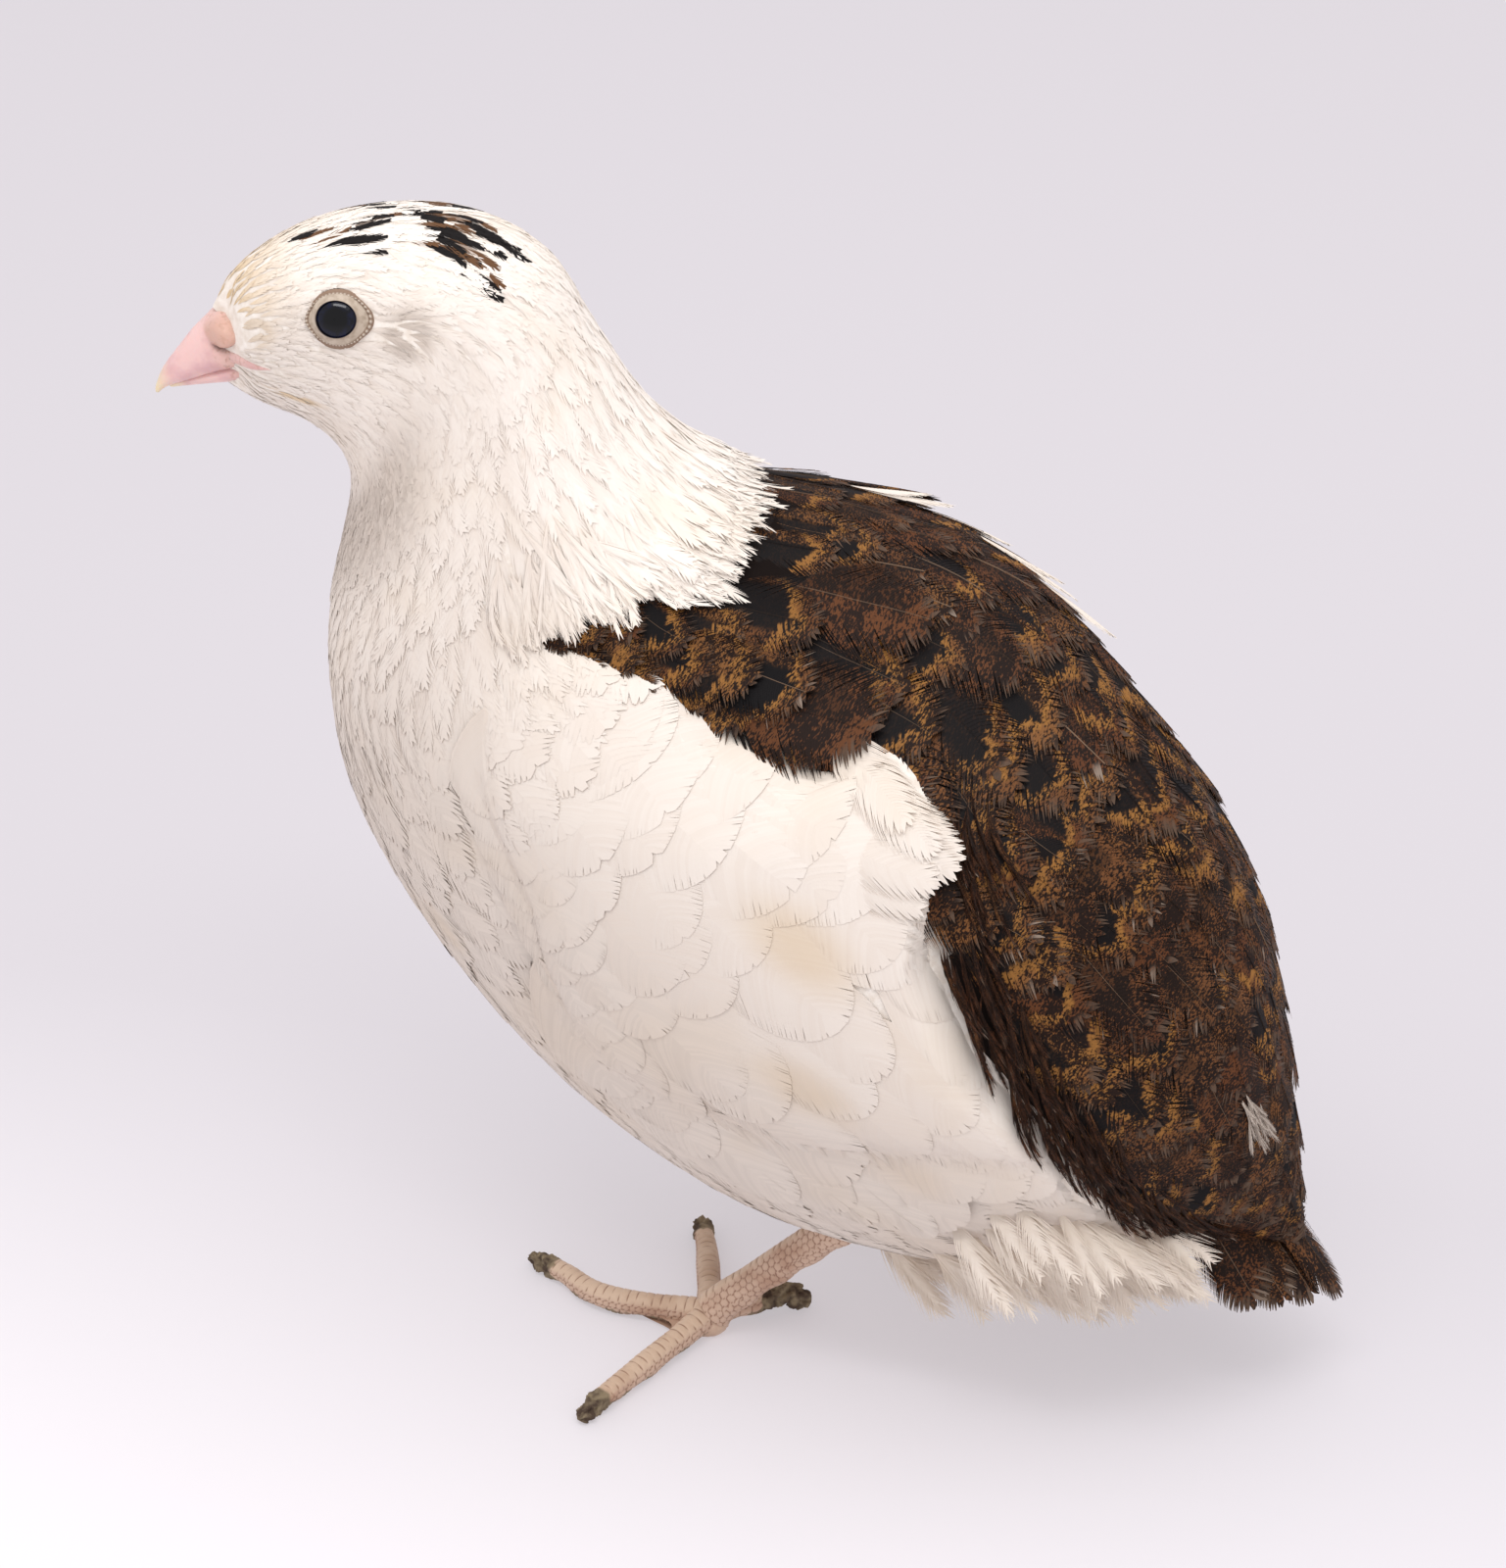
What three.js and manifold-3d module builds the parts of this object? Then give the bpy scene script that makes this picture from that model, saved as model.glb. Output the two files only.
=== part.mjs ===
// A standing coturnix quail: white, with a brown mottled back. It faces -X, its left side is -Y,
// and it stands on z = 0. Lengths are in millimetres.
//
// The body is one loft, raised into rows of overlapping feathers. Long feathers, which hang over the
// next tract or past the body, are blades with their roots sunk in. Nodes that touch keep GAP between
// them.
import * as THREE from 'three';
import { mergeVertices } from 'three/addons/utils/BufferGeometryUtils.js';
import Module from 'manifold-3d';

const wasm = await Module();
wasm.setup();

// ---------------------------------------------------------------- driving dimensions
const GAP = 0.3;
const FEATHER_THICKNESS = 0.62;
const ROOT_DEPTH = 1;
const FEATHERS_ROUND = 11;
const FEATHER_ROWS_FROM = 1.2;
const FEATHER_ROW_STEP = 0.84;
const FEATHER_RISE = 1;
const LONG_FEATHERS_FROM = 7;
const HEAD_FEATHER_RISE = 0.5;

const NECK_TURN = THREE.MathUtils.degToRad(22);
const NECK_PIVOT_X = -20;
const NECK_TURN_FROM_Z = 70;
const NECK_TURN_FULL_Z = 96;

const EYE_RADIUS = 3.3;
const EYE_DEPTH = 2.0;
const EYE_STATION = 2.56;
const EYE_HEIGHT = 0.631;
const LID_RADIUS = 2.95;
const LID_TUBE = 0.68;
const LID_FLATTEN = 0.88;
const SOCKET_RADIUS = 4.6;

const BACK_DEPTH = 2.5;
const BACK_CLEARANCE = 3;
const BACK_END = 15.3;
const WING_DEPTH = 1.1;
const WING_START = 7.6;
const WING_END = 12.95;
const WING_CROWN = 2.0;
const WING_EDGE = 0.5;

const TAIL_FEATHERS = 7;
const TAIL_ROOT = new THREE.Vector3(52, 0, 27.5);
const TAIL_LENGTH = 22;
const TAIL_WIDTH = 7;

const TOE_RADIUS = 1.45;
const TARSUS_RADIUS = 2.0;
const SCUTE = 3.4;
const LEFT_FOOT = new THREE.Vector3(-0.4, -14, 0);
const RIGHT_FOOT = new THREE.Vector3(18, 14.5, 0);

// Stations from the bill to the tail: the back's x and z, the belly's x and z, the half width, the
// share of the height where it is widest, and the roundness, which is 2 for an ellipse.
const BODY = [
  [-54.3, 113.2, -52.0, 108.0, 3.4, 0.5, 2],
  [-51.2, 117.8, -49.0, 105.2, 6.8, 0.5, 2],
  [-45.3, 121.7, -44.8, 102.0, 9.3, 0.52, 2.1],
  [-37.0, 123.5, -42.0, 98.5, 10.7, 0.52, 2.2],
  [-28.3, 122.7, -41.8, 94.0, 11.7, 0.5, 2.2],
  [-21.0, 118.5, -43.2, 88.0, 12.8, 0.46, 2.1],
  [-16.3, 110.5, -45.0, 80.0, 15.3, 0.44, 2],
  [-11.0, 102.0, -45.3, 70.0, 19.3, 0.42, 2],
  [-2.0, 94.0, -42.8, 58.5, 23.8, 0.45, 2],
  [10.0, 90.5, -35.3, 45.2, 27.3, 0.48, 2.05],
  [22.2, 86.3, -25.0, 32.5, 28.8, 0.5, 2.1],
  [34.5, 78.8, -13.0, 22.2, 28.8, 0.5, 2.1],
  [45.8, 68.3, 2.0, 14.5, 27.3, 0.5, 2.1],
  [53.3, 55.3, 18.0, 12.0, 23.8, 0.5, 2.1],
  [57.3, 42.0, 31.5, 13.3, 17.8, 0.5, 2.1],
  [59.3, 31.0, 42.5, 16.5, 11.0, 0.5, 2],
  [60.3, 23.5, 50.5, 18.5, 6.0, 0.5, 2],
];

// The two halves of the bill, as stations like the body's.
const UPPER_BILL = [
  [-50.5, 113.4, -48.2, 109.4, 3.1, 0.3, 2.2],
  [-54.3, 114.2, -52.2, 108.9, 3.2, 0.3, 2.2],
  [-57.3, 112.4, -55.2, 108.0, 2.6, 0.3, 2.1],
  [-59.5, 109.3, -58.1, 106.8, 1.7, 0.35, 2],
  [-60.8, 105.9, -60.2, 104.9, 0.45, 0.5, 2],
];
const LOWER_BILL = [
  [-48.6, 109.6, -48.2, 106.9, 2.7, 0.6, 2.1],
  [-52.3, 109.2, -51.9, 106.9, 2.6, 0.6, 2.1],
  [-55.5, 108.2, -55.1, 106.5, 1.9, 0.6, 2],
  [-58.7, 106.7, -58.4, 105.7, 0.7, 0.6, 2],
];

// Where the colours meet. A height is a share of the way up the side: 0 on the belly, 1 on the back.
// Front edge of the brown back, as height and station.
const BROWN_FRONT = [[0.6, 7.35], [0.65, 7.5], [0.72, 7.75], [0.8, 7.95], [0.9, 8.08], [1, 7.9]];
// Lower edge of the brown back, as station and height. The wing lies below it.
const BROWN_LOW = [[7.35, 0.6], [7.9, 0.65], [8.4, 0.68], [9.2, 0.67], [9.9, 0.685], [10.15, 0.75],
  [10.6, 0.75], [11, 0.71], [11.3, 0.655], [12, 0.62], [13, 0.585], [13.7, 0.575], [14.3, 0.595],
  [15, 0.66], [16, 0.7]];
// Lower edge of the folded wing, as station and height.
const WING_LOW = [[7.6, 0.56], [8.1, 0.53], [8.7, 0.49], [9.3, 0.45], [9.65, 0.41], [10.1, 0.375],
  [10.45, 0.36], [10.95, 0.39], [11.45, 0.42], [11.8, 0.455], [12.2, 0.5], [12.6, 0.535], [12.95, 0.57]];

const WHITE = 0xf1eeea;
const WARM_WHITE = 0xf4efe2;
const BROWN = 0x4a3022;
const DARK_BROWN = 0x3a261c;
const BILL_PINK = 0xe0b7ae;
const EYE_BLACK = 0x0b0d16;
const LID_BEIGE = 0xa39887;
const LEG_FLESH = 0xb98f7c;

// ---------------------------------------------------------------- small helpers
const V = (x, y, z) => new THREE.Vector3(x, y, z);
const signedPower = (value, power) => Math.sign(value) * Math.abs(value) ** power;

/** Value at x in a list of [x, value] pairs, with straight lines between them. */
function between(pairs, x) {
  const next = pairs.findIndex(([at]) => at >= x);
  if (next === 0) return pairs[0][1];
  if (next < 0) return pairs.at(-1)[1];
  const [x0, y0] = pairs[next - 1];
  const [x1, y1] = pairs[next];
  return y0 + ((y1 - y0) * (x - x0)) / (x1 - x0);
}

/** A Catmull-Rom spline through rows of numbers, t counting the rows. */
function spline(rows, t) {
  const last = rows.length - 1;
  const held = Math.min(Math.max(t, 0), last - 1e-9);
  const i = Math.floor(held);
  const f = held - i;
  return rows[i].map((b, k) => {
    const c = rows[i + 1][k];
    const a = i > 0 ? rows[i - 1][k] : 2 * b - c;
    const d = i + 2 <= last ? rows[i + 2][k] : 2 * c - b;
    const cubic = -a + 3 * b - 3 * c + d;
    return 0.5 * (2 * b + (c - a) * f + (2 * a - 5 * b + 4 * c - d) * f * f + cubic * f ** 3);
  });
}

/** The same random numbers on every run (mulberry32). */
function randomFrom(seed) {
  let state = seed;
  return () => {
    state = (state + 0x6d2b79f5) | 0;
    let r = Math.imul(state ^ (state >>> 15), 1 | state);
    r = (r + Math.imul(r ^ (r >>> 7), 61 | r)) ^ r;
    return ((r ^ (r >>> 14)) >>> 0) / 4294967296;
  };
}

// ---------------------------------------------------------------- solids
/** Turns the head and neck to the bird's left: none below the shoulders, all of it above the throat. */
function turnHead(point) {
  const amount = THREE.MathUtils.smoothstep(point.z, NECK_TURN_FROM_Z, NECK_TURN_FULL_Z);
  const pivot = V(NECK_PIVOT_X, 0, 0);
  return point.clone().sub(pivot).applyAxisAngle(V(0, 0, 1), NECK_TURN * amount).add(pivot);
}

/** A closed solid from points and triangles, with its faces turned outward and its head turned. */
function solidFrom(straight, triangles) {
  const points = straight.map(turnHead);
  const volume = triangles.reduce((sum, [a, b, c]) => (
    sum + points[a].dot(points[b].clone().cross(points[c]))), 0);
  const outward = volume > 0 ? triangles : triangles.map(([a, b, c]) => [a, c, b]);
  return new wasm.Manifold(new wasm.Mesh({
    numProp: 3,
    vertProperties: Float32Array.from(points.flatMap((p) => [p.x, p.y, p.z])),
    triVerts: Uint32Array.from(outward.flat()),
  }));
}

/** A closed solid from one of three.js's own closed geometries. */
function solidOf(geometry) {
  const bare = geometry.clone();
  bare.deleteAttribute('normal');
  bare.deleteAttribute('uv');
  const merged = mergeVertices(bare, 1e-4);
  const place = merged.getAttribute('position');
  const points = Array.from({ length: place.count }, (_, i) => V().fromBufferAttribute(place, i));
  const index = Array.from(merged.index.array);
  const triangles = [];
  for (let i = 0; i < index.length; i += 3) {
    const corners = index.slice(i, i + 3);
    if (new Set(corners).size === 3) triangles.push(corners);
  }
  return solidFrom(points, triangles);
}

/** The largest connected piece: loose scraps and sealed hollows are dropped. */
function largest(solid) {
  return solid.decompose().reduce((best, piece) => (
    Math.abs(piece.volume()) > Math.abs(best.volume()) ? piece : best));
}

const join = (solids) => wasm.Manifold.union(solids);

/** Top points, the same number of bottom points under them, the top's triangles and its outline. */
function shell(top, bottom, triangles, outline) {
  const under = top.length;
  const all = triangles.flatMap(([a, b, c]) => [[a, b, c], [under + a, under + c, under + b]]);
  outline.forEach((a, i) => {
    const b = outline[(i + 1) % outline.length];
    all.push([a, under + a, under + b], [a, under + b, b]);
  });
  return solidFrom([...top, ...bottom], all);
}

/** A closed loft through rings of points, with a fan at each end. */
function loft(rings) {
  const sides = rings[0].length;
  const middle = (ring) => ring.reduce((sum, p) => sum.add(p), V()).divideScalar(sides);
  const points = [...rings.flat(), middle(rings[0]), middle(rings.at(-1))];
  const [start, end] = [points.length - 2, points.length - 1];
  const lastRing = (rings.length - 1) * sides;
  const triangles = [];
  for (let j = 0; j < sides; j += 1) {
    const k = (j + 1) % sides;
    for (let ring = 0; ring < lastRing; ring += sides) {
      triangles.push([ring + j, ring + k, ring + sides + k], [ring + j, ring + sides + k, ring + sides + j]);
    }
    triangles.push([start, k, j], [end, lastRing + j, lastRing + k]);
  }
  return solidFrom(points, triangles);
}

/** A closed slab over a grid of columns and rows; place(row, column) gives its [top, bottom] points. */
function slab(rows, columns, place) {
  const pairs = [];
  for (let i = 0; i <= rows; i += 1) {
    for (let j = 0; j <= columns; j += 1) pairs.push(place(i / rows, j / columns));
  }
  const at = (i, j) => i * (columns + 1) + j;
  const triangles = [];
  for (let i = 0; i < rows; i += 1) {
    for (let j = 0; j < columns; j += 1) {
      triangles.push([at(i, j), at(i, j + 1), at(i + 1, j + 1)], [at(i, j), at(i + 1, j + 1), at(i + 1, j)]);
    }
  }
  const outline = [];
  for (let j = 0; j < columns; j += 1) outline.push(at(0, j));
  for (let i = 0; i < rows; i += 1) outline.push(at(i, columns));
  for (let j = columns; j > 0; j -= 1) outline.push(at(rows, j));
  for (let i = rows; i > 0; i -= 1) outline.push(at(i, 0));
  return shell(pairs.map(([top]) => top), pairs.map(([, bottom]) => bottom), triangles, outline);
}

// ---------------------------------------------------------------- the body's surface
// A place on it is a station t and a turn q: 0 under the belly, 1 on the back, 2 under the belly
// again. q below 1 is the right side (+Y) and q above 1 is the left.
function onLoft(stations, t, q) {
  const [backX, backZ, bellyX, bellyZ, halfWidth, level, roundness] = spline(stations, t);
  const angle = Math.PI * (q - 0.5);
  const across = signedPower(Math.cos(angle), 2 / roundness);
  const up = signedPower(Math.sin(angle), 2 / roundness);
  const height = level + (up > 0 ? 1 - level : level) * up;
  return V(bellyX + (backX - bellyX) * height, halfWidth * across, bellyZ + (backZ - bellyZ) * height);
}

const onSide = (height, side) => (side > 0 ? height : 2 - height);
const heightOf = (q) => 1 - Math.abs(1 - q);

function skinFrame(station, q) {
  const step = 2e-3;
  const t = Math.min(Math.max(station, step), BODY.length - 1 - step);
  const along = onLoft(BODY, t + step, q).sub(onLoft(BODY, t - step, q)).divideScalar(2 * step);
  const round = onLoft(BODY, t, q + step).sub(onLoft(BODY, t, q - step)).divideScalar(2 * step);
  return { along, round, normal: round.clone().cross(along).normalize() };
}

const skin = (t, q, lift) => onLoft(BODY, t, q).addScaledVector(skinFrame(t, q).normal, lift);

/** The place that lies a small vector away from (t, q), measured in millimetres along the skin. */
function moved(t, q, vector) {
  const { along, round } = skinFrame(t, q);
  const [a, b, c] = [along.dot(along), along.dot(round), round.dot(round)];
  const [alongShare, roundShare] = [vector.dot(along), vector.dot(round)];
  const size = a * c - b * b;
  return [t + (c * alongShare - b * roundShare) / size, q + (a * roundShare - b * alongShare) / size];
}

/** Which way a feather points at (t, q): tailward, turned by an angle towards the belly. */
function heading(t, q, turn, side) {
  const { along, normal } = skinFrame(t, q);
  const tailward = along.clone().normalize();
  const down = normal.clone().cross(tailward).multiplyScalar(side);
  return tailward.multiplyScalar(Math.cos(turn)).addScaledVector(down, Math.sin(turn));
}

/** The place a distance along the skin from (t, q) in a feather's direction. */
function walked(t, q, turn, side, distance) {
  const steps = Math.max(1, Math.ceil(Math.abs(distance) / 3));
  let place = [t, q];
  for (let i = 0; i < steps; i += 1) {
    place = moved(...place, heading(...place, turn, side).multiplyScalar(distance / steps));
  }
  return place;
}

// ---------------------------------------------------------------- feather blades
// A blade's outline from root to tip: share of its length, and share of its half width.
const KITE = [[0, 0], [0.66, 1], [1, 0]];
const ROUNDED = [[0, 0], [0.5, 0.95], [0.86, 0.74], [1, 0]];
const LONG = [[0, 0], [0.3, 0.8], [0.8, 1], [1, 0]];

/** Rows of one or three places make a blade; point(place, face) turns a place into a point. */
function plate(rows, point) {
  const places = rows.flat();
  const starts = rows.map((_, i) => rows.slice(0, i).flat().length);
  const triangles = [];
  for (let i = 0; i + 1 < rows.length; i += 1) {
    const [a, b] = [starts[i], starts[i + 1]];
    if (rows[i].length === 1) triangles.push([a, b, b + 1], [a, b + 1, b + 2]);
    else if (rows[i + 1].length === 1) triangles.push([a, b, a + 1], [a + 1, b, a + 2]);
    else triangles.push([a, b, b + 1], [a, b + 1, a + 1], [a + 1, b + 1, b + 2], [a + 1, b + 2, a + 2]);
  }
  const left = starts;
  const right = starts.slice(1, -1).map((start) => start + 2).reverse();
  return shell(places.map((p) => point(p, 1)), places.map((p) => point(p, -1)), triangles, [...left, ...right]);
}

/** A blade that follows the skin: sunk at its root, clear at its tip. grow makes it fatter all round. */
function skinBlade(t, q, { length, width, lift, turn = 0, over = () => 0, outline = ROUNDED }, grow) {
  const side = q > 1 ? 1 : -1;
  const rows = outline.map(([share, wide]) => {
    const stretch = share === 0 ? -grow : share === 1 ? grow : 0;
    const [ts, qs] = walked(t, q, turn, side, share * length + stretch);
    const rise = -ROOT_DEPTH + (lift + ROOT_DEPTH) * share;
    if (!wide) return [{ t: ts, q: qs, rise }];
    const { normal } = skinFrame(ts, qs);
    const across = normal.clone().cross(heading(ts, qs, turn, side));
    const reach = (wide * width) / 2 + grow;
    const [tl, ql] = moved(ts, qs, across.clone().multiplyScalar(-reach));
    const [tr, qr] = moved(ts, qs, across.clone().multiplyScalar(reach));
    return [{ t: tl, q: ql, rise: rise - 0.2 }, { t: ts, q: qs, rise: rise + 0.1 }, { t: tr, q: qr, rise: rise - 0.2 }];
  });
  return plate(rows, (place, face) => {
    const level = place.rise + over(place.t, place.q) - (face < 0 ? FEATHER_THICKNESS : 0);
    return skin(place.t, place.q, level + face * grow);
  });
}

/** A blade in free space that droops from its root. */
function freeBlade(root, direction, across, { length, width, droop = 0, outline = LONG }, grow) {
  const up = across.clone().cross(direction).normalize();
  const rows = outline.map(([share, wide]) => {
    const stretch = share === 0 ? -grow : share === 1 ? grow : 0;
    const spine = root.clone().addScaledVector(direction, share * length + stretch)
      .addScaledVector(up, -droop * share * share);
    if (!wide) return [spine];
    const reach = (wide * width) / 2 + grow;
    return [-1, 0, 1].map((s) => spine.clone().addScaledVector(across, s * reach)
      .addScaledVector(up, s ? -0.35 : 0));
  });
  const half = FEATHER_THICKNESS / 2 + grow;
  return plate(rows, (place, face) => place.clone().addScaledVector(up, face * half));
}

// ---------------------------------------------------------------- eyes and bill
const eyeSeat = (side) => {
  const q = onSide(EYE_HEIGHT, side);
  return { place: skin(EYE_STATION, q, 0), normal: skinFrame(EYE_STATION, q).normal };
};

function eye(side, grow = 0) {
  const { place, normal } = eyeSeat(side);
  const centre = place.addScaledVector(normal, -EYE_DEPTH);
  return solidOf(new THREE.SphereGeometry(EYE_RADIUS + grow, 16, 8).translate(...centre));
}

/** The hollow in the head that holds an eye and its lid. */
function eyeSocket(side) {
  const { place, normal } = eyeSeat(side);
  const centre = place.addScaledVector(normal, -EYE_DEPTH);
  return solidOf(new THREE.SphereGeometry(SOCKET_RADIUS, 14, 8).translate(...centre));
}

function eyelid(side) {
  const { place, normal } = eyeSeat(side);
  const ring = new THREE.TorusGeometry(LID_RADIUS, LID_TUBE, 5, 14).scale(1, LID_FLATTEN, 1);
  const facing = new THREE.Matrix4().lookAt(normal, V(), V(0, 0, 1)).setPosition(place);
  return solidOf(ring.applyMatrix4(facing));
}

function billHalf(stations, rings, grow = 0) {
  const sides = 8;
  const last = stations.length - 1;
  const grown = stations.map(([backX, backZ, bellyX, bellyZ, ...rest]) => {
    const up = V(backX - bellyX, 0, backZ - bellyZ).setLength(grow);
    return [backX + up.x, backZ + up.z, bellyX - up.x, bellyZ - up.z, rest[0] + grow, rest[1], rest[2]];
  });
  const ring = (i) => Array.from({ length: sides }, (_, j) => onLoft(grown, (i / rings) * last, (2 * j) / sides));
  return loft(Array.from({ length: rings + 1 }, (_, i) => ring(i)));
}

/** The soft flap that covers each nostril. */
function nostrilFlap(side, grow = 0) {
  const flap = new THREE.SphereGeometry(1, 8, 5).scale(2.3 + grow, 1 + grow, 1.3 + grow);
  return solidOf(flap.rotateY(0.75).translate(-53.4, side * 2.5, 112.1));
}

const upperBill = (grow = 0) => join([
  billHalf(UPPER_BILL, 7, grow), nostrilFlap(-1, grow), nostrilFlap(1, grow)]);
const lowerBill = (grow = 0) => billHalf(LOWER_BILL, 4, grow);

// ---------------------------------------------------------------- legs
/** A tube along points with a radius that swells at each scute; flat makes it wider than high. */
function scaled(points, radii, sides, flat = 1, scute = SCUTE) {
  const curve = new THREE.CatmullRomCurve3(points);
  const count = Math.max(3, Math.round(curve.getLength() / scute)) * 2;
  const rings = Array.from({ length: count + 1 }, (_, i) => {
    const u = i / count;
    const centre = curve.getPointAt(u);
    const forward = curve.getTangentAt(u);
    const across = forward.clone().cross(V(0, 0, 1)).normalize();
    const up = across.clone().cross(forward);
    const radius = between(radii, u) * (i % 2 ? 1.05 : 0.93);
    return Array.from({ length: sides }, (_, j) => {
      const angle = (2 * Math.PI * j) / sides;
      return centre.clone().addScaledVector(across, Math.cos(angle) * radius * flat)
        .addScaledVector(up, Math.sin(angle) * radius);
    });
  });
  return loft(rings);
}

// Each toe as its middle and tip from the middle of the foot, and its height at the middle.
const LEFT_TOES = {
  inner: { middle: [-4, 10.7], tip: [-6.9, 17], rise: 1.35 },
  middle: { middle: [-12, -0.3], tip: [-23.4, 4.7], rise: 1.5 },
  outer: { middle: [-4.7, -11.1], tip: [-8.2, -19.8], rise: 1.4 },
  hind: { middle: [6.4, 5.8], tip: [9.6, 6.8], rise: 1.9 },
};
const RIGHT_TOES = {
  inner: { middle: [-7, -4.5], tip: [-14, -7], rise: 1.35 },
  middle: { middle: [-11.6, 0.3], tip: [-22.5, -1], rise: 1.5 },
  outer: { middle: [-4.7, 11.1], tip: [-8.2, 19.8], rise: 1.4 },
  hind: { middle: [6.4, -5.8], tip: [9.6, -6.8], rise: 1.9 },
};
const TOE_RADII = [[0, 1.3], [0.25, 1.02], [0.5, 1.06], [0.8, 0.88], [0.87, 0.78], [1, 0.3]];

function toe(foot, { middle, tip, rise }) {
  const start = foot.clone().setZ(2);
  const bend = V(foot.x + middle[0], foot.y + middle[1], rise);
  const end = V(foot.x + tip[0], foot.y + tip[1], 0.75);
  const knuckle = bend.clone().lerp(end, 0.55).setZ(1.35);
  return scaled([start, bend, knuckle, end], TOE_RADII.map(([u, r]) => [u, r * TOE_RADIUS]), 5);
}

const tarsusPath = (foot) => [[0, 0, 2.2], [2.2, 0.5, 4.6], [6, 1, 8.3], [12, 1, 14.4], [18, 0.6, 20.4]]
  .map(([x, y, z]) => V(foot.x + x, foot.y + y, z));

function tarsus(foot, grow = 0) {
  const radii = [[0, 1.15], [0.25, 0.95], [0.6, 1], [1, 1.15]];
  return scaled(tarsusPath(foot), radii.map(([u, r]) => [u, r * TARSUS_RADIUS + grow]), 6, 0.92);
}

/** The skin that joins the roots of the middle and outer toes. */
function web(foot, toes) {
  const reach = 0.42;
  const corners = [V(foot.x, foot.y), ...['middle', 'outer'].map((name) => (
    V(foot.x + reach * toes[name].middle[0], foot.y + reach * toes[name].middle[1])))];
  const at = (z) => corners.map((p) => p.clone().setZ(z));
  return shell(at(1.6), at(0.5), [[0, 1, 2]], [0, 1, 2]);
}

function leg(foot, toes) {
  const pad = new THREE.SphereGeometry(1, 10, 6).scale(3, 2.9, 1.9).translate(foot.x - 0.4, foot.y, 1.5);
  const ground = new THREE.BoxGeometry(80, 80, 10).translate(foot.x, foot.y, -5);
  const parts = [tarsus(foot), solidOf(pad), web(foot, toes), ...Object.values(toes).map((t) => toe(foot, t))];
  return largest(join(parts).subtract(solidOf(ground)));
}

// ---------------------------------------------------------------- tail
/** Tail feathers in a shallow roof, the middle pair on top, each outer pair lower and shorter. */
function tail(grow = 0) {
  const feathers = Array.from({ length: TAIL_FEATHERS }, (_, i) => {
    const outward = i - (TAIL_FEATHERS - 1) / 2;
    const spread = THREE.MathUtils.degToRad(6.5 * outward);
    const pitch = THREE.MathUtils.degToRad(-50 - 2.2 * Math.abs(outward));
    const level = V(Math.cos(spread), Math.sin(spread), 0);
    const direction = level.multiplyScalar(Math.cos(pitch)).setZ(Math.sin(pitch));
    const across = V(-Math.sin(spread), Math.cos(spread), -0.12 * outward).normalize();
    const root = TAIL_ROOT.clone().add(V(-0.5 * Math.abs(outward), 0.7 * outward, -0.85 * Math.abs(outward)));
    const length = TAIL_LENGTH - 0.9 * Math.abs(outward);
    return freeBlade(root, direction, across, { length, width: TAIL_WIDTH, droop: 1 }, grow);
  });
  const stump = new THREE.SphereGeometry(1, 8, 6).scale(4.6 + grow, 3.8 + grow, 3.2 + grow);
  return join([solidOf(stump.rotateY(0.9).translate(54.5, 0, 23.6)), ...feathers]);
}

// ---------------------------------------------------------------- body with its rows of feathers
// A feather's outline across its width, in quarters from its middle: how far the tip is set back, as
// a share of the row, and how far it rises, as a share of the full rise. Its seam is half way round.
const TIP_SETBACK = [0, 0.12, 0.42, 0.12];
const TIP_RISE = [1, 0.85, 0.25, 0.85];
const STEP_DOWN = 0.03;

/** How high feathers may stand at a place: low on the head, flat beside the eyes. */
function featherRise(t, q) {
  const grown = THREE.MathUtils.smoothstep(t, 5, 8);
  const here = skin(t, q, 0);
  const fromEye = Math.min(...[-1, 1].map((side) => eyeSeat(side).place.distanceTo(here)));
  const full = HEAD_FEATHER_RISE + (FEATHER_RISE - HEAD_FEATHER_RISE) * grown;
  return full * THREE.MathUtils.smoothstep(fromEye, 3.5, 7);
}

function featheredBody() {
  const columns = 4 * FEATHERS_ROUND;
  const last = BODY.length - 1;
  const rows = Math.floor((last - FEATHER_ROWS_FROM) / FEATHER_ROW_STEP);
  const ring = (place) => Array.from({ length: columns }, (_, j) => {
    const q = (2 * j) / columns;
    const { t, rise } = place(j);
    return skin(t, q, rise * featherRise(t, q));
  });
  const flat = (t) => ring(() => ({ t, rise: 0 }));
  const quarter = (j, row) => (j + 2 * (row % 2)) % 4;
  const tipStation = (j, row) => (
    FEATHER_ROWS_FROM + FEATHER_ROW_STEP * (row + 1 - TIP_SETBACK[quarter(j, row)]));
  const startStation = (j, row) => (row === 0 ? FEATHER_ROWS_FROM / 2 : tipStation(j, row - 1) + STEP_DOWN);
  const rings = [flat(0)];
  for (let row = 0; row < rows; row += 1) {
    rings.push(ring((j) => ({ t: startStation(j, row), rise: 0 })));
    if (row * FEATHER_ROW_STEP > LONG_FEATHERS_FROM) {
      rings.push(ring((j) => ({
        t: (startStation(j, row) + tipStation(j, row)) / 2, rise: 0.6 * TIP_RISE[quarter(j, row)],
      })));
    }
    rings.push(ring((j) => ({ t: tipStation(j, row), rise: TIP_RISE[quarter(j, row)] })));
  }
  return loft([...rings, flat(last)]);
}

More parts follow.
